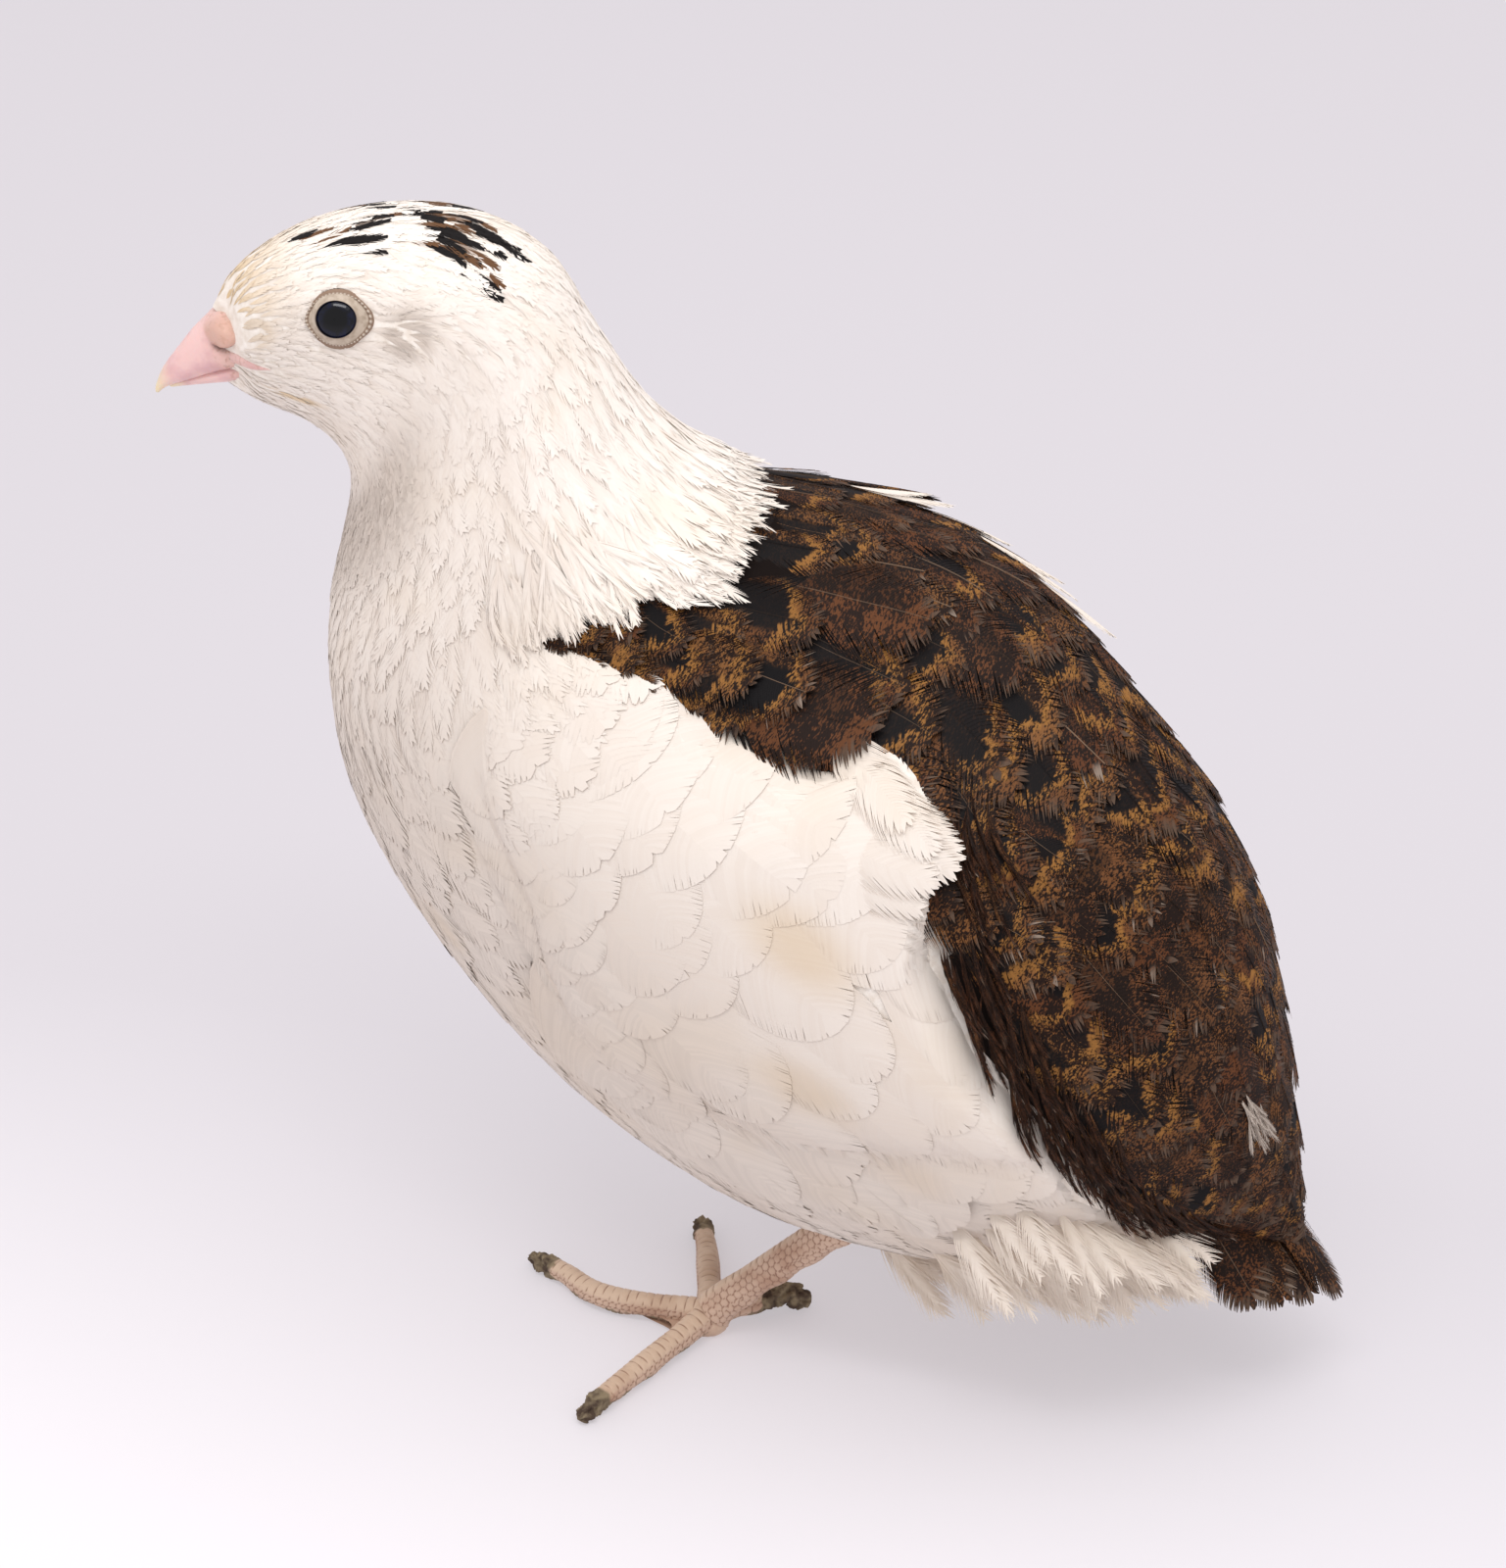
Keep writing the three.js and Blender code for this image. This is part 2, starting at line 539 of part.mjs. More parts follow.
// ---------------------------------------------------------------- brown back
/** The space of the brown patch, from one lower edge over the back to the other. */
function backRegion(grow) {
  const rim = grow / 60;
  return slab(11, 8, (row, column) => {
    const share = Math.abs(2 * column - 1);
    const lowStation = 7.35 + (BACK_END - 7.35) * row;
    const height = 1 - share * (1 - between(BROWN_LOW, lowStation) + rim);
    const front = between(BROWN_FRONT, height) - 7 * rim;
    const t = front + (BACK_END + 7 * rim - front) * row;
    const q = column < 0.5 ? height : 2 - height;
    return [skin(t, q, BACK_CLEARANCE), skin(t, q, -BACK_DEPTH - grow)];
  });
}

// Blades of the back, on each side: station of the root, height above the brown's lower edge, length,
// width, lift of the tip, and turn towards the belly in radians.
const SCAPULARS = [
  [7.75, 0.03, 12, 7.5, 1.9, 0.12], [8.4, 0.05, 13, 8.5, 2.2, 0.16], [9.05, 0.06, 14, 8.5, 2.3, 0.2],
  [9.7, 0.1, 15, 9, 2.3, 0.1], [10.4, 0.1, 14, 9, 1.9, 0.08], [11.05, 0.08, 13, 9, 1.9, 0.12],
  [11.75, 0.05, 13, 8, 1.7, 0.1], [12.5, 0.05, 12, 8, 1.5, 0.05], [13.3, 0.05, 12, 8, 1.5, 0.05],
  [9.2, 0.22, 15, 10, 1.8, 0.05], [10.7, 0.2, 15, 10, 1.8, 0.05], [12.1, 0.2, 14, 9, 1.7, 0.03],
];
// Blades over the root of the tail, as station, turn q and length.
const TAIL_COVERTS = [[14.6, 1, 12], [14.5, 0.76, 11], [14.5, 1.24, 11]];

function backFeathers(grow) {
  const sides = SCAPULARS.flatMap(([t, above, length, width, lift, turn]) => [-1, 1].map((side) => (
    skinBlade(t, onSide(between(BROWN_LOW, t) + above, side), { length, width, lift, turn }, grow))));
  const coverts = TAIL_COVERTS.map(([t, q, length]) => (
    skinBlade(t, q, { length, width: 7.5, lift: 1.5 }, grow)));
  return join([...sides, ...coverts]);
}

// ---------------------------------------------------------------- folded wings
/** How far the folded wing stands above the body at a place. */
function wingRise(t, q) {
  const low = between(WING_LOW, t);
  const high = between(BROWN_LOW, t);
  const share = Math.min(Math.max((heightOf(q) - low) / Math.max(high - low, 0.01), 0), 1);
  const along = Math.min(Math.max((t - WING_START) / (WING_END - WING_START), 0), 1);
  return WING_EDGE + WING_CROWN * Math.sqrt(Math.max(4 * share * (1 - share), 0)) * Math.sin(Math.PI * along) ** 0.5;
}

function wingPatch(side, grow) {
  const rim = grow / 60;
  return slab(8, 3, (row, column) => {
    const t = WING_START - 3 * rim + (WING_END - WING_START + 6 * rim) * row;
    const low = between(WING_LOW, t) - rim;
    const high = Math.max(between(BROWN_LOW, t), low + 0.01) + rim;
    const q = onSide(low + (high - low) * column, side);
    return [skin(t, q, wingRise(t, q) + grow), skin(t, q, -WING_DEPTH - grow)];
  });
}

// Rows of wing feathers: station of the roots, shares of the wing's depth from first to last root,
// how many, length, width, and turn towards the belly in radians.
const WING_ROWS = [
  { t: 7.95, shares: [0.5, 0.5], count: 1, length: 13, width: 9, turn: 0.05, outline: KITE },
  { t: 8.6, shares: [0.15, 0.8], count: 3, length: 13, width: 9, turn: 0.05, outline: KITE },
  { t: 9.3, shares: [0.1, 0.9], count: 4, length: 14.5, width: 9, turn: 0, outline: KITE },
  { t: 10, shares: [0.08, 0.92], count: 4, length: 17, width: 10, turn: 0 },
  { t: 10.75, shares: [0.06, 0.8], count: 4, length: 20, width: 9, turn: -0.1 },
  { t: 11.4, shares: [0.04, 0.55], count: 3, length: 19, width: 6.5, turn: -0.16, outline: LONG },
];

function wing(side, grow = 0) {
  const random = randomFrom(side > 0 ? 21 : 22);
  const blades = WING_ROWS.flatMap(({ t, shares, count, ...shape }) => Array.from({ length: count }, (_, k) => {
    const share = shares[0] + ((shares[1] - shares[0]) * (k + 0.1 * (random() - 0.5))) / Math.max(count - 1, 1);
    const low = between(WING_LOW, t);
    const height = low + (between(BROWN_LOW, t) - low) * share;
    return skinBlade(t, onSide(height, side), { ...shape, lift: 0.9, over: wingRise }, grow);
  }));
  return join([wingPatch(side, grow), ...blades]);
}

// ---------------------------------------------------------------- white plumage
/** Soft white tufts that hang under the tail. */
function ventTufts() {
  const random = randomFrom(41);
  return Array.from({ length: 9 }, (_, i) => {
    const q = onSide(0.08 + 0.5 * random(), i % 2 ? 1 : -1);
    const t = 14.2 + 1.3 * random();
    const outward = onLoft(BODY, t, q).y * 0.05;
    const direction = V(0.5, outward, -0.85 - 0.1 * random()).normalize();
    const across = direction.clone().cross(V(0, 0, 1)).normalize().negate();
    return freeBlade(skin(t, q, -1), direction, across, { length: 9 + 3 * random(), width: 4, outline: KITE }, 0);
  });
}

// ---------------------------------------------------------------- assembly
function node(name, solid, color, roughness) {
  const { numProp, vertProperties, triVerts } = solid.getMesh();
  const geometry = new THREE.BufferGeometry();
  geometry.setAttribute('position', new THREE.BufferAttribute(Float32Array.from(vertProperties), numProp));
  geometry.setIndex(Array.from(triVerts));
  geometry.computeVertexNormals();
  const mesh = new THREE.Mesh(geometry, new THREE.MeshStandardMaterial({ color, roughness, metalness: 0 }));
  mesh.name = name;
  return mesh;
}

const body = featheredBody();
const brownBack = largest(body.intersect(backRegion(0)).add(backFeathers(0)));
const brownRoom = backRegion(GAP).add(backFeathers(GAP));
const wings = { left: -1, right: 1 };
const backRoom = body.intersect(backRegion(GAP)).add(backFeathers(GAP));
const wingSolids = Object.values(wings).map((side) => largest(wing(side).subtract(backRoom)));
const wingRooms = Object.values(wings).map((side) => wing(side, GAP));
const tailSolid = largest(tail().subtract(backRoom));
const upper = largest(upperBill());
const lower = largest(lowerBill().subtract(upperBill(GAP)));
const lids = Object.values(wings).map((side) => largest(eyelid(side).subtract(eye(side, GAP))));
const rooms = [brownRoom, ...wingRooms, tail(GAP), upperBill(GAP), lowerBill(GAP), tarsus(LEFT_FOOT, GAP),
  tarsus(RIGHT_FOOT, GAP), eyeSocket(-1), eyeSocket(1)];
const white = largest(join([body, ...ventTufts()]).subtract(join(rooms)));

const quail = new THREE.Group();
quail.add(
  node('white_plumage', white, WHITE, 0.85),
  node('brown_back', brownBack, BROWN, 0.8),
  node('left_wing', wingSolids[0], WARM_WHITE, 0.8),
  node('right_wing', wingSolids[1], WARM_WHITE, 0.8),
  node('tail', tailSolid, DARK_BROWN, 0.8),
  node('upper_bill', upper, BILL_PINK, 0.45),
  node('lower_bill', lower, BILL_PINK, 0.45),
  node('left_eye', eye(-1), EYE_BLACK, 0.05),
  node('right_eye', eye(1), EYE_BLACK, 0.05),
  node('left_eyelid', lids[0], LID_BEIGE, 0.7),
  node('right_eyelid', lids[1], LID_BEIGE, 0.7),
  node('left_leg', leg(LEFT_FOOT, LEFT_TOES), LEG_FLESH, 0.6),
  node('right_leg', leg(RIGHT_FOOT, RIGHT_TOES), LEG_FLESH, 0.6),
);

// The origin is under the middle of the bird, on the ground it stands on.
const extent = new THREE.Box3().setFromObject(quail);
const middle = extent.getCenter(V());
quail.position.set(-middle.x, -middle.y, -extent.min.z);

export default quail;
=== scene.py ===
# A standing coturnix quail, white with a brown mottled back, dressed feather by feather.
#
# Shapes are worked out in millimetres on a bird that looks straight ahead. placed() then turns the
# head to the bird's left and moves the points into the frame. A place on the body is a station t,
# from the bill (0) to the tail (16), and a turn q: 0 under the belly, 1 on the back, 2 under the belly
# again. q below 1 is the bird's right side (+Y). A height is q, or 2 - q on the left side.
import math

import bpy
import numpy as np
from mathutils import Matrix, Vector


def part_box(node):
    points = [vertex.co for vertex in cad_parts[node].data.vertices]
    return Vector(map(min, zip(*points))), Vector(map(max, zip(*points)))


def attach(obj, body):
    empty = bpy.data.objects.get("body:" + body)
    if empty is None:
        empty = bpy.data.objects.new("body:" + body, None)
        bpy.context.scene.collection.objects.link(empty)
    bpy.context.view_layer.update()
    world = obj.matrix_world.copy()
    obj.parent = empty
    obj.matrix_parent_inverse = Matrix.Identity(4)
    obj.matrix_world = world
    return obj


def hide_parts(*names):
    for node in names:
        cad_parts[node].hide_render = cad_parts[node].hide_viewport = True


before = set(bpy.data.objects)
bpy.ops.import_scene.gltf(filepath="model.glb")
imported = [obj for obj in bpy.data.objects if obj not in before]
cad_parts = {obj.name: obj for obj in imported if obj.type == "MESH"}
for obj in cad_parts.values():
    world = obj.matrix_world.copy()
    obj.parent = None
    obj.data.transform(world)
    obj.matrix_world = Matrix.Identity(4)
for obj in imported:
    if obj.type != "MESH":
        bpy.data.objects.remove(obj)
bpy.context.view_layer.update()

MM = 0.001
LEFT, RIGHT = -1, 1
SIDES = {"left": LEFT, "right": RIGHT}

# ---------------------------------------------------------------- sizes, in millimetres
NECK_TURN = math.radians(22)
NECK_PIVOT_X = -20.0
NECK_TURN_FROM_Z, NECK_TURN_FULL_Z = 70.0, 96.0

EYE_RADIUS = 3.3
EYE_DEPTH = 2.0
EYE_STATION, EYE_HEIGHT = 2.56, 0.613

# The bare-looking patch over each ear: its station and height, and how wide it is.
EAR = (3.62, 0.605)
EAR_SIZE = 8.0

WING_START, WING_END = 7.6, 12.95
WING_CROWN, WING_EDGE = 2.0, 0.5

# Stations from the bill to the tail: the back's x and z, the belly's x and z, the half width, the
# share of the height where it is widest, and the roundness, which is 2 for an ellipse.
BODY = [
    (-54.6, 113.4, -54.2, 107.0, 3.1, 0.5, 2),
    (-51.6, 117.9, -50.3, 104.4, 5.7, 0.5, 2),
    (-45.3, 121.7, -44.8, 102.0, 9.3, 0.52, 2.1),
    (-37.0, 123.5, -42.0, 98.5, 10.7, 0.52, 2.2),
    (-28.3, 122.7, -41.8, 94.0, 11.7, 0.5, 2.2),
    (-21.0, 118.5, -43.2, 88.0, 12.8, 0.46, 2.1),
    (-16.3, 110.5, -45.0, 80.0, 15.3, 0.44, 2),
    (-11.0, 102.0, -45.3, 70.0, 19.3, 0.42, 2),
    (-2.0, 94.0, -42.8, 58.5, 23.8, 0.45, 2),
    (10.0, 90.5, -35.3, 45.2, 27.3, 0.48, 2.05),
    (22.2, 86.3, -25.0, 32.5, 28.8, 0.5, 2.1),
    (34.5, 78.8, -13.0, 22.2, 28.8, 0.5, 2.1),
    (45.8, 68.3, 2.0, 14.5, 27.3, 0.5, 2.1),
    (53.3, 55.3, 18.0, 12.0, 23.8, 0.5, 2.1),
    (57.3, 42.0, 31.5, 13.3, 17.8, 0.5, 2.1),
    (59.3, 31.0, 42.5, 16.5, 11.0, 0.5, 2),
    (60.3, 23.5, 50.5, 18.5, 6.0, 0.5, 2),
]
UPPER_BILL = [
    (-49.5, 113.0, -47.6, 108.9, 3.2, 0.3, 2.2),
    (-53.3, 113.9, -51.6, 108.0, 3.2, 0.33, 2.2),
    (-55.8, 112.2, -54.6, 107.3, 2.7, 0.35, 2.1),
    (-57.9, 109.8, -57.0, 106.5, 2.0, 0.38, 2),
    (-59.6, 107.6, -59.2, 105.8, 1.15, 0.45, 2),
    (-60.6, 105.4, -60.4, 104.9, 0.35, 0.5, 2),
]
LOWER_BILL = [
    (-48.0, 109.2, -47.8, 106.4, 2.9, 0.6, 2.1),
    (-52.0, 108.8, -51.8, 106.4, 2.7, 0.6, 2.1),
    (-54.8, 108.0, -54.6, 106.2, 2.1, 0.6, 2),
    (-57.4, 107.0, -57.3, 105.9, 1.3, 0.6, 2),
    (-59.2, 106.1, -59.1, 105.6, 0.4, 0.6, 2),
]
# The swollen flap over a nostril: the x and z of its middle, and its half length and half height.
FLAP = (-53.1, 112.9, 2.1, 2.1)
# The bare pink corner of the mouth: stations, and the heights of its upper and lower edges there.
GAPE = [(0.0, 0.5, 0.33), (0.3, 0.49, 0.35), (0.8, 0.47, 0.4), (1.45, 0.445, 0.443)]

# Where the colours meet. Front edge of the brown back, as height and station.
BROWN_FRONT = [(0.6, 7.36), (0.64, 7.46), (0.69, 7.62), (0.735, 7.86), (0.78, 8.14), (0.85, 8.18), (1, 8.05)]
# Lower edge of the brown back, as station and height. The wing lies below it.
BROWN_LOW = [
    (7.35, 0.6), (7.9, 0.65), (8.4, 0.68), (9.2, 0.67), (9.9, 0.685), (10.15, 0.75), (10.6, 0.75),
    (11, 0.72), (11.3, 0.655), (12, 0.605), (13, 0.58), (13.5, 0.55), (14.8, 0.52), (16, 0.5),
]
# Lower edge of the folded wing, as station and height.
WING_LOW = [
    (7.6, 0.56), (8.1, 0.53), (8.7, 0.49), (9.3, 0.45), (9.65, 0.41), (10.1, 0.375), (10.45, 0.36),
    (10.95, 0.39), (11.45, 0.42), (11.8, 0.455), (12.2, 0.5), (12.6, 0.535), (12.95, 0.57),
]
BROWN_END = 15.3
LAST = len(BODY) - 1


# ---------------------------------------------------------------- the body's surface
def between(pairs, x):
    """The value at x on a line through pairs of x and value."""
    return np.interp(x, [p[0] for p in pairs], [p[1] for p in pairs])


def smooth(x, start, end):
    """0 before start and 1 past end, with a soft step between them; start may be the larger one."""
    share = np.clip((np.asarray(x, float) - start) / (end - start), 0, 1)
    return share * share * (3 - 2 * share)


def signed_power(value, power):
    """A value raised to a power, keeping its sign."""
    return np.sign(value) * np.abs(value) ** power


def spline(rows, t):
    """A Catmull-Rom spline through rows of numbers, t counting the rows."""
    rows = np.asarray(rows, float)
    last = len(rows) - 1
    held = np.clip(t, 0, last - 1e-9)
    i = np.floor(held).astype(int)
    f = (held - i)[..., None]
    b, c = rows[i], rows[i + 1]
    a = np.where((i > 0)[..., None], rows[np.maximum(i - 1, 0)], 2 * b - c)
    d = np.where((i + 2 <= last)[..., None], rows[np.minimum(i + 2, last)], 2 * c - b)
    cubic = -a + 3 * b - 3 * c + d
    return 0.5 * (2 * b + (c - a) * f + (2 * a - 5 * b + 4 * c - d) * f * f + cubic * f**3)


def on_loft(stations, t, q):
    """Places at station t and turn q on a body given by its stations."""
    t, q = np.broadcast_arrays(np.asarray(t, float), np.asarray(q, float))
    back_x, back_z, belly_x, belly_z, half_width, level, roundness = np.moveaxis(spline(stations, t), -1, 0)
    angle = np.pi * (q - 0.5)
    across = signed_power(np.cos(angle), 2 / roundness)
    up = signed_power(np.sin(angle), 2 / roundness)
    height = level + np.where(up > 0, 1 - level, level) * up
    x = belly_x + (back_x - belly_x) * height
    z = belly_z + (back_z - belly_z) * height
    return np.stack([x, half_width * across, z], -1)


PER_STATION, PER_TURN = 48, 320


def skin_tables():
    """The body's places and normals, and its steps per station and per turn, on a fine grid."""
    t, q = np.meshgrid(np.arange(LAST * PER_STATION + 1) / PER_STATION,
                       np.arange(2 * PER_TURN + 1) / PER_TURN, indexing="ij")
    step = 2e-3
    held = np.clip(t, step, LAST - step)
    along = (on_loft(BODY, held + step, q) - on_loft(BODY, held - step, q)) / (2 * step)
    around = (on_loft(BODY, held, q + step) - on_loft(BODY, held, q - step)) / (2 * step)
    normal = np.cross(around, along)
    normal /= np.linalg.norm(normal, axis=-1, keepdims=True)
    return np.concatenate([on_loft(BODY, t, q), normal], -1), np.concatenate([along, around], -1)


SURFACE, STEPS = skin_tables()


def looked_up(table, t, q):
    """Values of a table between its grid points, carried straight on past the tail."""
    t, q = np.broadcast_arrays(np.asarray(t, float), np.asarray(q, float))
    x = np.maximum(t, 0) * PER_STATION
    y = np.mod(q, 2) * PER_TURN
    i = np.clip(x.astype(int), 0, table.shape[0] - 2)
    j = np.clip(y.astype(int), 0, table.shape[1] - 2)
    fx, fy = (x - i)[..., None], (y - j)[..., None]
    near = table[i, j] * (1 - fx) + table[i + 1, j] * fx
    far = table[i, j + 1] * (1 - fx) + table[i + 1, j + 1] * fx
    return near * (1 - fy) + far * fy


def skin(t, q, lift):
    """Places that stand lift millimetres off the body."""
    found = looked_up(SURFACE, t, q)
    return found[..., :3] + found[..., 3:] * np.asarray(lift, float)[..., None]


def skin_steps(t, q):
    """The ways along and around the body at a place, per station and per turn, and out of it."""
    found = looked_up(STEPS, t, q)
    along, around = found[..., :3], found[..., 3:]
    normal = looked_up(SURFACE, t, q)[..., 3:]
    normal /= np.linalg.norm(normal, axis=-1, keepdims=True)
    return along, around, normal


def dot(a, b):
    """Dot products along the last axis."""
    return (a * b).sum(-1)


def unit(a):
    """The same directions, each one long."""
    return a / np.linalg.norm(a, axis=-1, keepdims=True)


def as_step(along, around, vector):
    """A small vector along the skin, as steps in t and q."""
    a, b, c = dot(along, along), dot(along, around), dot(around, around)
    along_share, around_share = dot(vector, along), dot(vector, around)
    size = a * c - b * b
    return (c * along_share - b * around_share) / size, (a * around_share - b * along_share) / size


def head_turned(points):
    """Points with the head turned to the left, and the neck twisted under it."""
    points = np.array(points, float)
    angle = NECK_TURN * smooth(points[..., 2], NECK_TURN_FROM_Z, NECK_TURN_FULL_Z)
    x, y = points[..., 0] - NECK_PIVOT_X, points[..., 1].copy()
    points[..., 0] = NECK_PIVOT_X + np.cos(angle) * x - np.sin(angle) * y
    points[..., 1] = np.sin(angle) * x + np.cos(angle) * y
    return points


def on_side(height, side):
    """The turn q of a height on the left or the right."""
    return np.where(np.asarray(side) > 0, height, 2 - np.asarray(height, float))


def height_of(q):
    """The height of a turn, the same on both sides: 0 under the belly and 1 on the back."""
    return 1 - np.abs(1 - np.mod(q, 2))


def eye_centre(side):
    """The middle of an eye and the way it looks, before the head turns."""
    found = looked_up(SURFACE, EYE_STATION, on_side(EYE_HEIGHT, side))
    return found[:3] - EYE_DEPTH * found[3:], found[3:]


def frame_shift():
    """From the bird's own millimetres to the frame's, measured at the left eye."""
    lowest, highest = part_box("left_eye")
    middle = np.array((lowest + highest) / 2) / MM
    shift = middle - head_turned(eye_centre(LEFT)[0])
    shift[2] = 0
    return shift


SHIFT = frame_shift()


def placed(points):
    """Points in the frame, in metres."""
    return (head_turned(points) + SHIFT) * MM


def wing_rise(t, q):
    """How far the folded wing stands above the body at a place."""
    low, high = between(WING_LOW, t), between(BROWN_LOW, t)
    share = np.clip((height_of(q) - low) / np.maximum(high - low, 0.01), 0, 1)
    along = np.clip((t - WING_START) / (WING_END - WING_START), 0, 1)
    crown = WING_CROWN * np.sqrt(4 * share * (1 - share)) * np.sqrt(np.sin(np.pi * along))
    return WING_EDGE * (1 + smooth(t, 9, 10)) + crown


# ---------------------------------------------------------------- meshes
def mesh_piece(name, points, quads, material, nodes=(), layers=None):
    """A smooth mesh of quads that stands for CAD nodes. layers are named vectors for its points."""
    points = np.asarray(placed(points), np.float32).reshape(-1, 3)
    quads = np.asarray(quads, np.int32).reshape(-1, 4)
    mesh = bpy.data.meshes.new(name)
    mesh.vertices.add(len(points))
    mesh.vertices.foreach_set("co", points.ravel())
    mesh.loops.add(quads.size)
    mesh.loops.foreach_set("vertex_index", quads.ravel())
    mesh.polygons.add(len(quads))
    mesh.polygons.foreach_set("loop_start", np.arange(0, quads.size, 4, dtype=np.int32))
    mesh.polygons.foreach_set("use_smooth", np.ones(len(quads), bool))
    for layer, values in (layers or {}).items():
        attribute = mesh.attributes.new(layer, "FLOAT_VECTOR", "POINT")
        attribute.data.foreach_set("vector", np.asarray(values, np.float32).ravel())
    mesh.update(calc_edges=True)
    mesh.materials.append(material)
    piece = bpy.data.objects.new(name, mesh)
    bpy.context.collection.objects.link(piece)
    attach(piece, "root")
    if nodes:
        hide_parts(*nodes)


def grid(rows, columns, down=(0, 1), along=(0, 1), closed=False):
    """Two arrays of rows by columns: how far down the rows and how far along them each point is."""
    first = np.linspace(*down, rows)[:, None] + np.zeros((1, columns))
    second = np.linspace(*along, columns, endpoint=not closed)[None, :] + np.zeros((rows, 1))
    return first, second


def grid_quads(rows, columns, closed=False):
    """Quads over a grid of rows by columns of points; closed joins its last column to its first."""
    i = np.arange(rows - 1)[:, None]
    j = np.arange(columns if closed else columns - 1)[None, :]
    k = (j + 1) % columns
    corners = [i * columns + j, i * columns + k, (i + 1) * columns + k, (i + 1) * columns + j]
    return np.stack([np.broadcast_to(c, (rows - 1, j.size)) for c in corners], -1).reshape(-1, 4)


def repeated(quads, points_each, count):
    """The same quads for count copies of a block of points."""
    return (quads[None] + (np.arange(count) * points_each)[:, None, None]).reshape(-1, 4)


# ---------------------------------------------------------------- feathers
SPINE = 8


def spines(t, q, turn, side, length, bend):
    """Places along each feather's shaft, and its steps across for one millimetre.

    turn is a feather's angle from tailward in radians, positive towards the back, and bend is how much
    of it is gained from root to tip.
    """
    places = []
    for k in range(SPINE + 1):
        along, around, normal = skin_steps(t, q)
        tailward = unit(along)
        upward = np.cross(normal, tailward) * side[:, None]
        angle = (turn + bend * (k / SPINE - 0.5))[:, None]
        heading = tailward * np.cos(angle) + upward * np.sin(angle)
        across = np.cross(normal, heading)
        places.append(np.stack([t, q, *as_step(along, around, across)], -1))
        dt, dq = as_step(along, around, heading * (length / SPINE)[:, None])
        t, q = t + dt, q + dq
    return np.stack(places, 1)


def along_spine(spine, share):
    """Spine values at shares of each feather's length; share is feathers by points."""
    x = np.clip(share, 0, 1) * SPINE
    i = np.minimum(x.astype(int), SPINE - 1)
    f = (x - i)[..., None]
    row = np.arange(len(spine))[:, None]
    return spine[row, i] * (1 - f) + spine[row, i + 1] * f


# How each kind of feather is made: barbs a side, the parts in each, how much they cling together and in how
# many clumps, how ragged their ends are, how much they thin and how late, how far along the feather the
# lowest ones reach, and the shaft's half width in millimetres. Then, in millimetres, how far the vane
# arches, how far each barb stands on edge, and how far its end strays above or below the vane.
FEATHERS = {
    "head": (5, 2, 0.15, 3, 0.4, 0.8, 2, 0.6, 0, 0.03, 0.012, 0.05),
    "neck": (8, 3, 0.12, 4, 0.4, 0.88, 2, 0.65, 0, 0.04, 0.02, 0.06),
    "neck edge": (7, 3, 0.25, 3, 0.5, 0.93, 1.5, 0.75, 0, 0.1, 0.02, 0.3),
    "body": (16, 3, 0.1, 8, 0.18, 0.7, 4, 0.5, 0, 0.06, 0.015, 0.04),
    "wing": (44, 4, 0.03, 12, 0.015, 0.3, 6, 0.5, 0, 0.08, 0.012, 0.02),
    "wing tip": (34, 4, 0.4, 8, 0.12, 0.85, 4, 0.5, 0, 0.1, 0.03, 0.06),
    "primary": (60, 4, 0.04, 7, 0.03, 0.4, 8, 0.4, 0.08, 0.25, 0.02, 0.02),
    "vent": (16, 3, 0.5, 4, 0.5, 0.93, 0.7, 0.75, 0, 0.2, 0.02, 1.2),
    "back": (32, 4, 0.3, 12, 0.25, 0.93, 2.5, 0.48, 0.05, 0.35, 0.05, 0.12),
    "scapular": (44, 4, 0.25, 12, 0.2, 0.93, 2.5, 0.48, 0.05, 0.5, 0.05, 0.12),
    "flank fringe": (7, 3, 0.3, 3, 0.5, 0.93, 1.2, 0.85, 0, 0.1, 0.05, 0.4),
    "back edge": (20, 3, 0.4, 5, 0.3, 0.9, 2, 0.6, 0, 0.3, 0.06, 0.2),
    "tail": (60, 4, 0.15, 10, 0.1, 0.8, 5, 0.36, 0.1, 0.5, 0.06, 0.08),
    "tail covert": (34, 4, 0.3, 10, 0.2, 0.9, 3, 0.45, 0.05, 0.4, 0.06, 0.15),
    "under tail": (12, 3, 0.3, 4, 0.45, 0.92, 1.4, 0.75, 0, 0.3, 0.02, 0.5),
    "rump tuft": (8, 3, 0.5, 3, 0.5, 0.95, 0.8, 0.8, 0, 0.1, 0.06, 0.3),
}
# The share of a feather's length from which its outline rounds off to the tip.
ROUND_FROM, TAIL_ROUND_FROM = 0.6, 0.8


